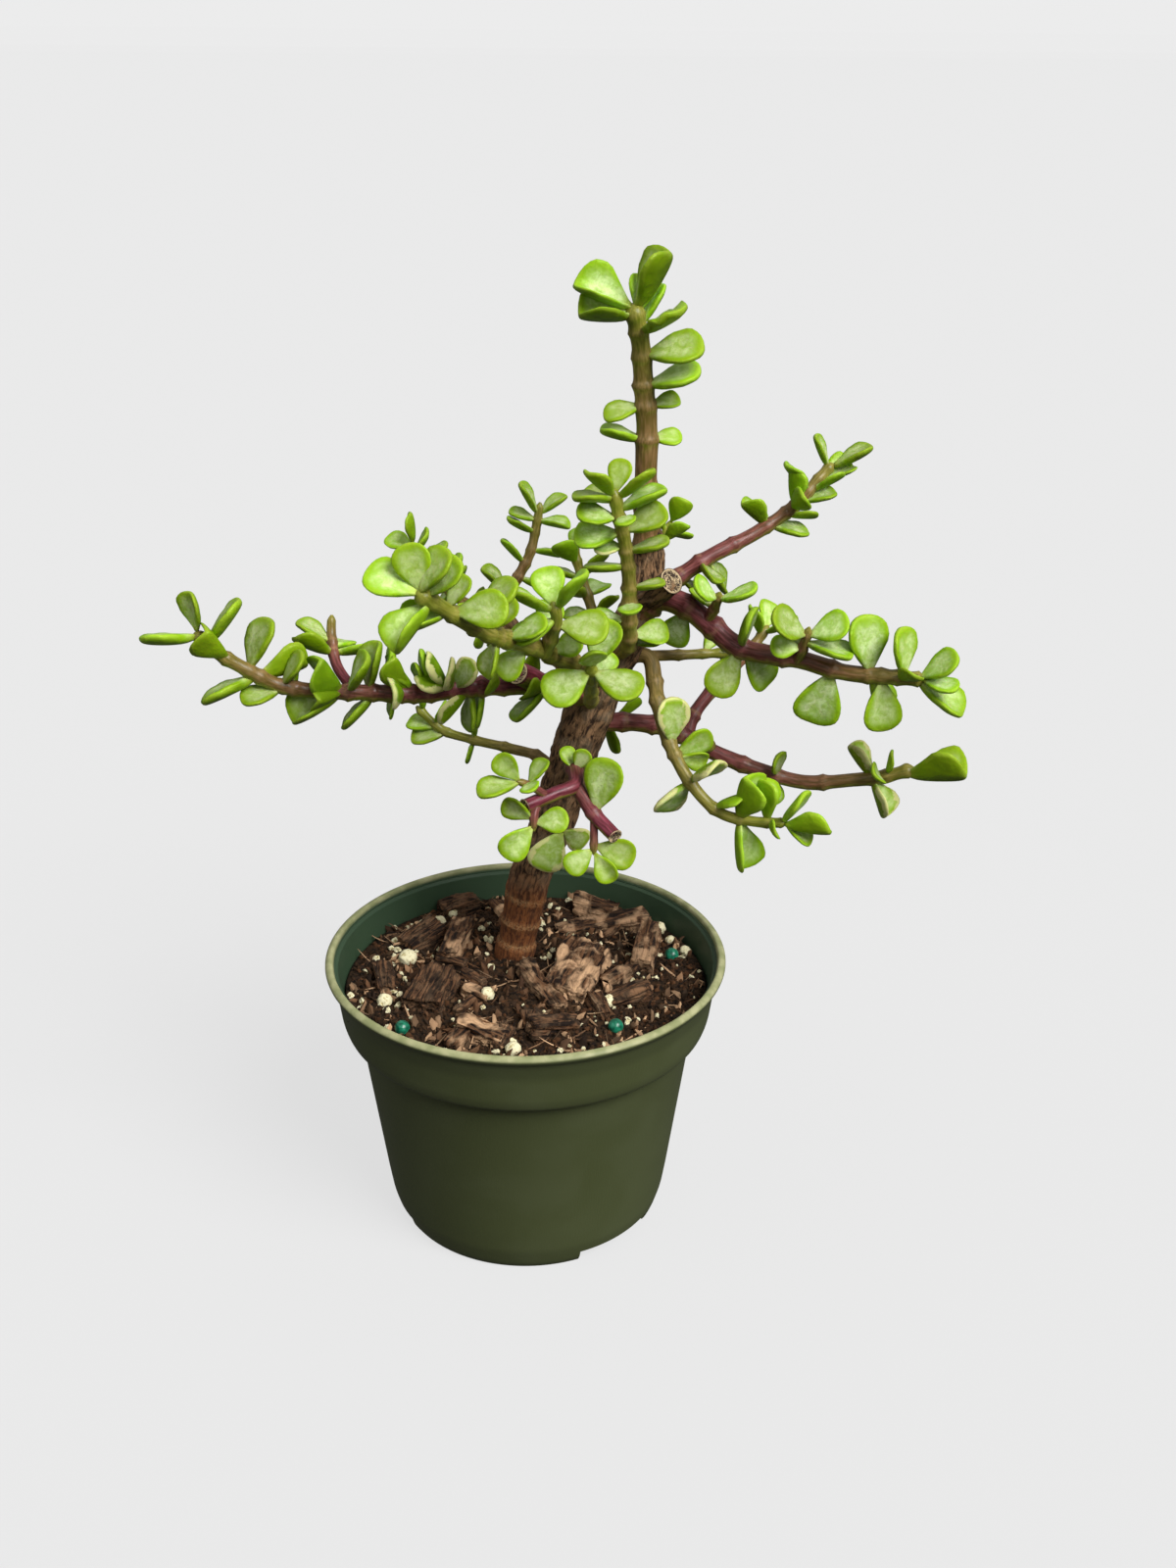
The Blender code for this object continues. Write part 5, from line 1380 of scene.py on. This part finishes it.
def smooth_path(route, step):
    """Points about one step apart on a Catmull-Rom curve through the route, with their stations."""
    knots = np.array(route, float)
    knots = np.vstack([2 * knots[0] - knots[1], knots, 2 * knots[-1] - knots[-2]])
    fine = []
    for i in range(1, len(knots) - 2):
        a, b, c, d = knots[i - 1:i + 3]
        for t in np.linspace(0, 1, CURVE_STEPS, endpoint=False):
            fine.append(0.5 * (2 * b + (c - a) * t + (2 * a - 5 * b + 4 * c - d) * t * t
                               + (3 * b - a - 3 * c + d) * t ** 3))
    fine.append(knots[-2])
    fine = np.array(fine)
    along = np.concatenate([[0], np.cumsum(np.linalg.norm(np.diff(fine, axis=0), axis=1))])
    stations = np.linspace(0, along[-1], max(2, int(round(along[-1] / step)) + 1))
    return np.stack([np.interp(stations, along, fine[:, k]) for k in range(3)], 1), stations


def unit(vector):
    """A vector of length 1 in the same direction."""
    return vector / np.linalg.norm(vector)


def point_at(route, station):
    """Middle and direction of a route at a station."""
    points, stations = smooth_path(route, FINE_STEP)
    station = min(station, stations[-1])
    place, behind, ahead = [
        np.array([np.interp(s, stations, points[:, k]) for k in range(3)])
        for s in (station, station - 1.0, station + 1.0)
    ]
    return place, unit(ahead - behind)


def stem_radii(stem):
    """Radius of a stem at a share of its length."""
    return lambda share: stem.base_radius + (stem.tip_radius - stem.base_radius) * share


def trunk_radii():
    """Radius of the trunk at a share of its length."""
    route, radii = zip(*TRUNK)
    steps = np.linalg.norm(np.diff(np.array(route, float), axis=0), axis=1)
    shares = np.concatenate([[0], np.cumsum(steps)]) / steps.sum()
    return lambda share: float(np.interp(share, shares, radii))


Leaf = namedtuple("Leaf", "base axis face length station share")


def leaf_at(stem, station, bearing, lean, roll, length):
    """A leaf that starts inside the stem, leans forward and is rolled a little about its length."""
    middle, ahead = point_at(stem.route, station)
    rise = np.array(stem.route[-1], float) - np.array(stem.route[0], float)
    upright = abs(unit(rise)[2]) > UPRIGHT
    mark = np.array((0.0, -1.0, 0.0)) if upright else np.array((0.0, 0.0, 1.0))
    across = unit(mark - ahead * (mark @ ahead))
    other = np.cross(ahead, across)
    turn, tip = math.radians(bearing), math.radians(lean)
    out = math.cos(turn) * across + math.sin(turn) * other
    axis = math.cos(tip) * out + math.sin(tip) * ahead
    facing_tip = math.cos(tip) * ahead - math.sin(tip) * out
    to_light = LIGHT - axis * (LIGHT @ axis)
    face = facing_tip * (1 - stem.turn) + to_light * stem.turn
    face = unit(face - axis * (face @ axis))
    spin = math.radians(roll)
    face = math.cos(spin) * face + math.sin(spin) * np.cross(axis, face)
    share = station / smooth_path(stem.route, FINE_STEP)[1][-1]
    radius = stem_radii(stem)(share)
    base = middle + out * (radius * (1 - LEAF_SUNK))
    return Leaf(base, axis, face, length + radius * LEAF_SUNK, station, min(share, 1.0))


def leaf_marks(leaf):
    """Points spread over a blade, by which its room is judged."""
    side = np.cross(leaf.axis, leaf.face)
    marks = [leaf.base + leaf.axis * leaf.length]
    for along, half in LEAF_OUTLINE:
        for share in (-1.0, 0.0, 1.0):
            reach = share * half * LEAF_HALF_WIDTH * leaf.length
            marks.append(leaf.base + leaf.axis * leaf.length * along + side * reach)
    return np.array(marks)


def room(marks, spots, radii):
    """Smallest distance from the marks to other spots, less the spots' radii."""
    gaps = np.linalg.norm(marks[:, None] - spots[None], axis=2) - radii[None]
    return float(gaps.min())


def stem_spots():
    """Points spread over the trunk and every stem, with the radius and the owner of each."""
    woody = [("trunk", [place for place, _ in TRUNK], trunk_radii()),
             ("trunk", CUT_STUB, lambda share: CUT_STUB_RADIUS)]
    woody += [(name, stem.route, stem_radii(stem)) for name, stems in SPRAYS.items() for stem in stems]
    spots, radii, owners = [], [], []
    for owner, route, radius_at in woody:
        points, stations = smooth_path(route, STEM_SPOT_STEP)
        spots += list(points)
        radii += [radius_at(station / stations[-1]) for station in stations]
        owners += [owner] * len(points)
    return np.array(spots), np.array(radii), np.array(owners)


def grow_leaves():
    """Every spray's leaves, each turned or tipped by as little as clears the other sprays."""
    draw = np.random.default_rng(DRAW_SEED)
    spots, radii, owners = stem_spots()
    leaves = {name: [] for name in SPRAYS}
    marks_of = {name: [] for name in SPRAYS}
    tries = [(0, 0)] + [(turn, tip) for turn in TRIED_TURNS for tip in TRIED_TIPS]
    for name, stem in [(name, stem) for name, stems in SPRAYS.items() for stem in stems]:
        others = owners != name
        for station, bearing, lean, length in stem.leaves:
            bearing += draw.uniform(-LEAF_WOBBLE, LEAF_WOBBLE)
            lean += draw.uniform(-LEAF_WOBBLE, LEAF_WOBBLE)
            roll = draw.uniform(-LEAF_ROLL, LEAF_ROLL)
            best = None
            for turn, tip in tries:
                leaf = leaf_at(stem, station, bearing + turn, lean + tip, roll, length)
                marks = leaf_marks(leaf)
                gap = room(marks, spots[others], radii[others]) - STEM_ROOM
                for other, placed in marks_of.items():
                    if placed:
                        near = np.concatenate(placed)
                        wanted = LEAF_ROOM if other != name else SISTER_ROOM
                        gap = min(gap, room(marks, near, np.full(len(near), wanted)))
                if best is None or gap > best[0]:
                    best = (gap, leaf, marks)
                if gap >= 0:
                    break
            if best[0] >= -LEAST_ROOM:
                leaves[name].append(best[1])
                marks_of[name].append(best[2])
    return leaves


def blade_object():
    """One leaf blade of unit length along X with its upper face to +Z. Its points know their place along
    and across it, and how far they belong to the upper face."""
    rows = []
    for place, half, depth in BLADE_ROWS:
        for k in range(BLADE_SIDES):
            c, s = on_circle(1.0, math.tau * k / BLADE_SIDES)
            full = math.copysign(abs(s) ** EDGE_FULLNESS, s)
            split = LEAF_UPPER_SHARE if s > 0 else 1 - LEAF_UPPER_SHARE
            rise = full * split * LEAF_THICKNESS * depth
            if s > 0:
                rise -= MIDRIB_DEPTH * math.exp(-(c / MIDRIB_WIDTH) ** 2) * (1 - place) * s
            rows.append(((place, c * half * LEAF_HALF_WIDTH, rise), place,
                         c * min(1.0, half * BLADE_FLARE), min(1.0, max(0.0, 0.5 + UPPER_EDGE * s))))
    rows += [((1.0, 0.0, 0.0), 1.0, 0.0, 0.5), ((0.0, 0.0, 0.0), 0.0, 0.0, 0.5)]
    points, along, across, upper = zip(*rows)
    n = BLADE_SIDES
    tip, foot = len(points) - 2, len(points) - 1
    faces = []
    for k in range(len(BLADE_ROWS) - 1):
        faces += band(k * n, (k + 1) * n, n)
    faces += [(tip, tip - n + i, tip - n + (i + 1) % n) for i in range(n)]
    faces += [(foot, (i + 1) % n, i) for i in range(n)]
    mesh = mesh_of("blade", np.array(points) / MM, faces)
    keep(mesh, along=along, across=across, upper=upper, reach=[p[1] / LEAF_HALF_WIDTH for p in points])
    return new_object("blade", mesh)


def leaf_points(name, leaves):
    """A mesh of one loose point a leaf, which carries how that leaf lies, bends and is coloured."""
    draw = np.random.default_rng(sum(map(ord, name)))
    n = len(leaves)
    folded, wavy, creamy = [
        np.array([leaf.station in table.get(name, ()) for leaf in leaves], float)
        for table in (FOLDS, WAVY, CREAM_RIMS)]
    _, _, first, last = SPRAY_AGES[name]
    youth = first + (last - first) * np.array([leaf.share for leaf in leaves]) ** 2
    return keep(
        mesh_of(name, [leaf.base for leaf in leaves]),
        axis=[leaf.axis for leaf in leaves],
        face=[leaf.face for leaf in leaves],
        size=np.array([leaf.length for leaf in leaves]) * MM,
        width=draw.uniform(*LEAF_WIDTHS, n),
        bend=draw.uniform(*LEAF_BENDS, n),
        cup=draw.uniform(*LEAF_CUPS, n) + FOLDED_CUP * folded,
        fold=FOLDED * folded + draw.uniform(*LEAF_FOLDS, n),
        wave=WAVE + WAVY_MORE * wavy,
        youth=np.clip(youth + draw.uniform(-YOUTH_SPREAD, YOUTH_SPREAD, n), 0, 1),
        cream=creamy,
        draw=draw.uniform(0, 1, n),
    )


def joints_of(stem, length):
    """Stations at which a stem has a pair of leaves now, or had one before."""
    places = []
    for station in sorted(min(row[0], length) for row in stem.leaves):
        if not places or station - places[-1] > JOINT_GAP:
            places.append(station)
    first = places[0] if places else length
    draw = np.random.default_rng(DRAW_SEED + int(length))
    old = first - np.cumsum(draw.uniform(*OLD_NODE_GAPS, OLD_NODES))
    bare = [(a + b) / 2 for a, b in zip(places, places[1:]) if b - a > OLD_NODE_GAPS[1]]
    return sorted([s for s in old if s > COLLAR_LENGTH] + places + bare)


def hump(places, middle, reach):
    """A swelling that is 1 at its middle and fades to both sides."""
    return np.exp(-((places - middle) / reach) ** 2)


def stem_line(name, stem, first, look):
    """The line of one stem as a mesh, with its girth, scars and age at each point."""
    length = smooth_path(stem.route, FINE_STEP)[1][-1]
    points, stations = smooth_path(stem.route, look.step / MM)
    shares = stations / length
    radius = stem_radii(stem)(shares)
    scar = np.zeros(len(stations))
    low = 0.0
    for joint in joints_of(stem, length):
        radius *= 1 + look.swelling * hump(stations, joint, NODE_REACH)
        inside = (stations >= low) & (stations < joint)
        swell = INTERNODE_WAIST + INTERNODE_GAIN * ((stations - low) / max(joint - low, 1.0)) ** 2
        radius *= np.where(inside, swell, 1.0)
        scar = np.maximum(scar, hump(stations, joint + SCAR_SHIFT, SCAR_REACH))
        low = joint
    if first:
        radius *= 1 + COLLAR_FLARE * hump(stations, 0.0, COLLAR_LENGTH)
    pruned = any(math.dist(stem.route[-1], end[0]) < CUT_REACH for end in CUT_ENDS)
    if not pruned:
        radius *= np.sqrt(np.clip((length - stations) / TIP_LENGTH, TIP_LEAST, 1))
    flush, woody, _, _ = SPRAY_AGES[name]
    return keep(
        line_of(name, points), girth=radius * MM, station=stations * MM,
        scar=scar * (SCAR_STRENGTH - SCAR_LOSS * shares),
        flush=flush * (1 - (0.0 if pruned else FLUSH_FADE) * shares ** 3),
        woody=woody * np.clip(WOOD_FROM - WOOD_LOSS * shares, 0, 1), loose=np.ones(len(points)),
    )


def make_sprays(leaf_look, stem_look):
    """Every spray as two pieces, its swept stems and its blades."""
    tree, blades, relief = stem_tree(), blade_tree(), relief_tree()
    skin, leaf_skin = stem_material(stem_look), leaf_material(leaf_look)
    blade = blade_object()
    leaves = grow_leaves()
    swept = {"Sides": stem_look.sides, "Material": skin}
    rough = {"Depth": 0.05 * MM, "Size": 2.4 * MM, "Stretch": (1.0, 1.0, 0.5), "Material": skin}
    laid = {"Blade": blade, "Material": leaf_skin}
    for name, stems in SPRAYS.items():
        lines = [stem_line(name, stem, stem is stems[0], stem_look) for stem in stems]
        piece = grown(name + "_stems", join(name, lines), (tree, swept), (relief, rough))
        finished(piece, "jade_foliage", name)
        piece = grown(name + "_leaves", leaf_points(name, leaves[name]), (blades, laid))
        finished(piece, "jade_foliage", name)
    bpy.data.objects.remove(blade, do_unlink=True)


def trunk_line(look):
    """The line of the trunk as a mesh, with its bark stepped out below each of the low rings."""
    points, stations = smooth_path([place for place, _ in TRUNK], look.step / MM)
    radii = trunk_radii()
    radius = np.array([radii(s / stations[-1]) for s in stations])
    scar = np.zeros(len(points))
    heights = points[:, 2]
    low = heights[0]
    for ring in TRUNK_RINGS:
        step, mark = (SLEEVE_STEP, SLEEVE_RING) if ring < SLEEVES_TO else (OLD_SLEEVE_STEP, OLD_RING)
        inside = (heights >= low) & (heights < ring)
        sleeve = 1 - step / 2 + step * ((heights - low) / (ring - low)) ** 3
        radius *= np.where(inside, sleeve, 1.0)
        scar = np.maximum(scar, hump(heights, ring, RING_REACH) * mark)
        low = ring
    waist = 1 - FOOT_WAIST * hump(heights, WAIST_HEIGHT, WAIST_REACH)
    return keep(line_of("trunk_line", points), girth=radius * waist * MM, station=stations * MM,
                scar=scar, loose=np.where(heights < TRUNK_RINGS[2], SLEEVE_RELIEF, 1.0))


def stub_line(look):
    """The line of the thick cut stub beside the leader, as a mesh, with one pale ring."""
    points, stations = smooth_path(CUT_STUB, look.step / MM)
    n = len(points)
    return keep(line_of("stub_line", points), girth=np.full(n, CUT_STUB_RADIUS * MM),
                station=(stations + STUB_STATION) * MM,
                scar=hump(stations, STUB_RING, STUB_RING_REACH) * STUB_SCAR, loose=np.ones(n))


def make_trunk(look):
    """The trunk and its stub in bark, and the faces of the four cuts."""
    bark = bark_material(look)
    tree, relief = stem_tree(), relief_tree()
    swept = (tree, {"Sides": look.sides, "Material": bark})
    plates = (relief, {"Depth": look.depth, "Size": 1.7 * MM, "Stretch": (1.0, 1.0, 0.22), "Seed": 6.0,
                       "Material": bark})
    burls = (relief, {"Depth": 0.5 * MM, "Size": 5 * MM, "Seed": 7.0, "Material": bark})
    trunk = grown("woody_trunk", trunk_line(look), swept, burls, plates)
    stub = grown("pruned_stub", stub_line(look), swept, plates)
    cuts = new_object("cut_ends", join("cut_ends", [cut_end(*row) for row in CUT_ENDS]))
    smooth(cuts.data)
    cuts.data.materials.append(cut_material(look))
    for piece in (trunk, stub, cuts):
        finished(piece, "jade_bark", "trunk")


def cut_end(middle, facing, radius):
    """A cut face: a shallow dish inside a raised callus rim, with cracks across the pith."""
    ahead = unit(np.array(facing))
    middle = np.array(middle) + ahead * CUT_LIFT
    across = unit(np.cross(ahead, (0.0, 0.0, 1.0)))
    other = np.cross(ahead, across)
    n = CUT_SIDES
    points, reach = [], []
    for k in range(1, CUT_RINGS + 1):
        share = k / CUT_RINGS
        for i in range(n):
            c, s = on_circle(1.0, math.tau * i / n)
            spot = radius * share * (c * across + s * other)
            crack = noise.noise(Vector(spot * CRACK_SCALE) + Vector(middle)) * CRACK_DEPTH
            dish = DISH_DEPTH * radius * (share ** 3 - 1) + crack * (1 - share ** 4)
            points.append(middle + spot + ahead * (dish if k < CUT_RINGS else -RIM_DROP))
            reach.append(share)
    top, back = len(points), len(points) + 1
    points += [middle - ahead * PITH_DROP * radius, middle - ahead * CUT_BACK]
    rim = (CUT_RINGS - 1) * n
    faces = [(top, i, (i + 1) % n) for i in range(n)]
    for a in range(0, rim, n):
        b = a + n
        faces += [(a + i, b + i, b + (i + 1) % n, a + (i + 1) % n) for i in range(n)]
    faces += [(back, rim + (i + 1) % n, rim + i) for i in range(n)]
    return keep(mesh_of("cut_end", points, faces), reach=reach + [0.0, 1.0])


def make_stage(look):
    """Paper floor that sweeps up behind, one large soft light with a weaker one, and the camera."""
    rows = [(-FLOOR_REACH, 0.0), (FLOOR_REACH, 0.0)]
    rows += [(FLOOR_REACH + SWEEP * math.sin(a), SWEEP * (1 - math.cos(a)))
             for a in np.linspace(SWEEP_FROM, math.pi / 2, SWEEP_ROWS)]
    n = len(rows)
    points = [(x, y, z) for x in (-FLOOR_REACH, FLOOR_REACH) for y, z in rows]
    faces = [(k, k + n, k + n + 1, k + 1) for k in range(n - 1)]
    mesh = mesh_of("paper_sweep", np.array(points) / MM, faces)
    mesh.materials.append(paper_material(look))
    sweep = new_object("paper_sweep", mesh)
    sweep.visible_diffuse = sweep.visible_glossy = False
    for name, way, width, power in (("key_light", KEY_WAY, look.key_spread, look.key),
                                    ("fill_light", FILL_WAY, look.fill_spread, look.fill)):
        light = bpy.data.lights.new(name, "SUN")
        light.angle, light.energy = width, power
        lamp = new_object(name, light)
        lamp.rotation_euler = Vector(way).to_track_quat("Z", "Y").to_euler()
    world = bpy.data.worlds.new("studio_room")
    world.use_nodes = True
    sky = world.node_tree
    height = add(sky, SEPARATE, {0: add(sky, COORDINATE, out="Generated")}, 2)
    glow = add(sky, RANGE, {"Value": height, "From Min": -0.2, "From Max": 0.7,
                            "To Min": look.room_low, "To Max": look.room_high}, **SOFT)
    fill(sky, sky.nodes["Background"], {"Strength": glow, "Color": (1.0, 1.0, 1.0, 1.0)})
    bpy.context.scene.world = world
    bpy.context.scene.view_settings.view_transform = "Standard"
    camera = bpy.data.cameras.new("camera")
    camera.lens, camera.sensor_width = CAMERA_LENS, CAMERA_SENSOR
    eye = new_object("camera", camera)
    pitch = Matrix.Rotation(math.radians(90.0 - CAMERA_PITCH), 4, "X")
    roll = Matrix.Rotation(math.radians(CAMERA_ROLL), 4, "Z")
    eye.matrix_world = Matrix.Translation(CAMERA_PLACE) @ pitch @ roll
    bpy.context.scene.camera = eye


class JadeSettings(bpy.types.PropertyGroup):
    leaf: bpy.props.PointerProperty(type=JadeLeafLook, name="Leaves", description="Looks of the leaves")
    stem: bpy.props.PointerProperty(type=JadeStemLook, name="Stems", description="Looks of the shoots")
    bark: bpy.props.PointerProperty(type=JadeBarkLook, name="Trunk", description="Looks of the trunk")
    pot: bpy.props.PointerProperty(type=JadePotLook, name="Pot", description="Looks of the pot")
    mix: bpy.props.PointerProperty(type=JadeMixLook, name="Mix", description="Looks of the potting mix")
    stage: bpy.props.PointerProperty(type=JadeStageLook, name="Stage", description="Paper and light")


class JADE_OT_stage(bpy.types.Operator):
    """Lay the paper, hang the lights and set the camera"""
    bl_idname = "jade.stage"
    bl_label = "Stage"

    def execute(self, context):
        make_stage(context.scene.jade.stage)
        return {"FINISHED"}


class JADE_OT_pot(bpy.types.Operator):
    """Turn the nursery pot, with its lip, drain notches and holes"""
    bl_idname = "jade.pot"
    bl_label = "Nursery pot"

    def execute(self, context):
        make_pot(context.scene.jade.pot)
        return {"FINISHED"}


class JADE_OT_mix(bpy.types.Operator):
    """Fill the pot with peat, bark chips, crumbs, fibres, perlite and prills"""
    bl_idname = "jade.mix"
    bl_label = "Potting mix"

    def execute(self, context):
        make_mix(context.scene.jade.mix)
        return {"FINISHED"}


class JADE_OT_trunk(bpy.types.Operator):
    """Grow the trunk and its pruned stub, with their bark and cut ends"""
    bl_idname = "jade.trunk"
    bl_label = "Trunk"

    def execute(self, context):
        make_trunk(context.scene.jade.bark)
        return {"FINISHED"}


class JADE_OT_sprays(bpy.types.Operator):
    """Grow every leafy shoot"""
    bl_idname = "jade.sprays"
    bl_label = "Leafy shoots"

    def execute(self, context):
        make_sprays(context.scene.jade.leaf, context.scene.jade.stem)
        return {"FINISHED"}


class JADE_PT_panel(bpy.types.Panel):
    """Lists the bonsai's pieces and their looks"""
    bl_label = "Dwarf jade bonsai"
    bl_idname = "JADE_PT_panel"
    bl_space_type = "VIEW_3D"
    bl_region_type = "UI"
    bl_category = "Jade"

    def draw(self, context):
        looks = context.scene.jade
        for button, look in ((JADE_OT_stage, looks.stage), (JADE_OT_pot, looks.pot),
                             (JADE_OT_mix, looks.mix), (JADE_OT_trunk, looks.bark),
                             (JADE_OT_sprays, looks.leaf)):
            box = self.layout.box()
            box.operator(button.bl_idname)
            for key in type(look).__annotations__:
                box.prop(look, key)
        box = self.layout.box()
        for key in JadeStemLook.__annotations__:
            box.prop(looks.stem, key)


CLASSES = (
    JadeLeafLook, JadeStemLook, JadeBarkLook, JadePotLook, JadeMixLook, JadeStageLook, JadeSettings,
    JADE_OT_stage, JADE_OT_pot, JADE_OT_mix, JADE_OT_trunk, JADE_OT_sprays, JADE_PT_panel,
)


def register():
    """Makes Blender know the settings, the operators and the panel."""
    for kind in CLASSES:
        bpy.utils.register_class(kind)
    bpy.types.Scene.jade = bpy.props.PointerProperty(type=JadeSettings)


def unregister():
    """Takes the settings, the operators and the panel out of Blender again."""
    del bpy.types.Scene.jade
    for kind in reversed(CLASSES):
        bpy.utils.unregister_class(kind)


def main():
    """Builds every piece in order."""
    register()
    bpy.ops.jade.stage()
    bpy.ops.jade.pot()
    bpy.ops.jade.mix()
    bpy.ops.jade.trunk()
    bpy.ops.jade.sprays()


if __name__ == "__main__":
    main()
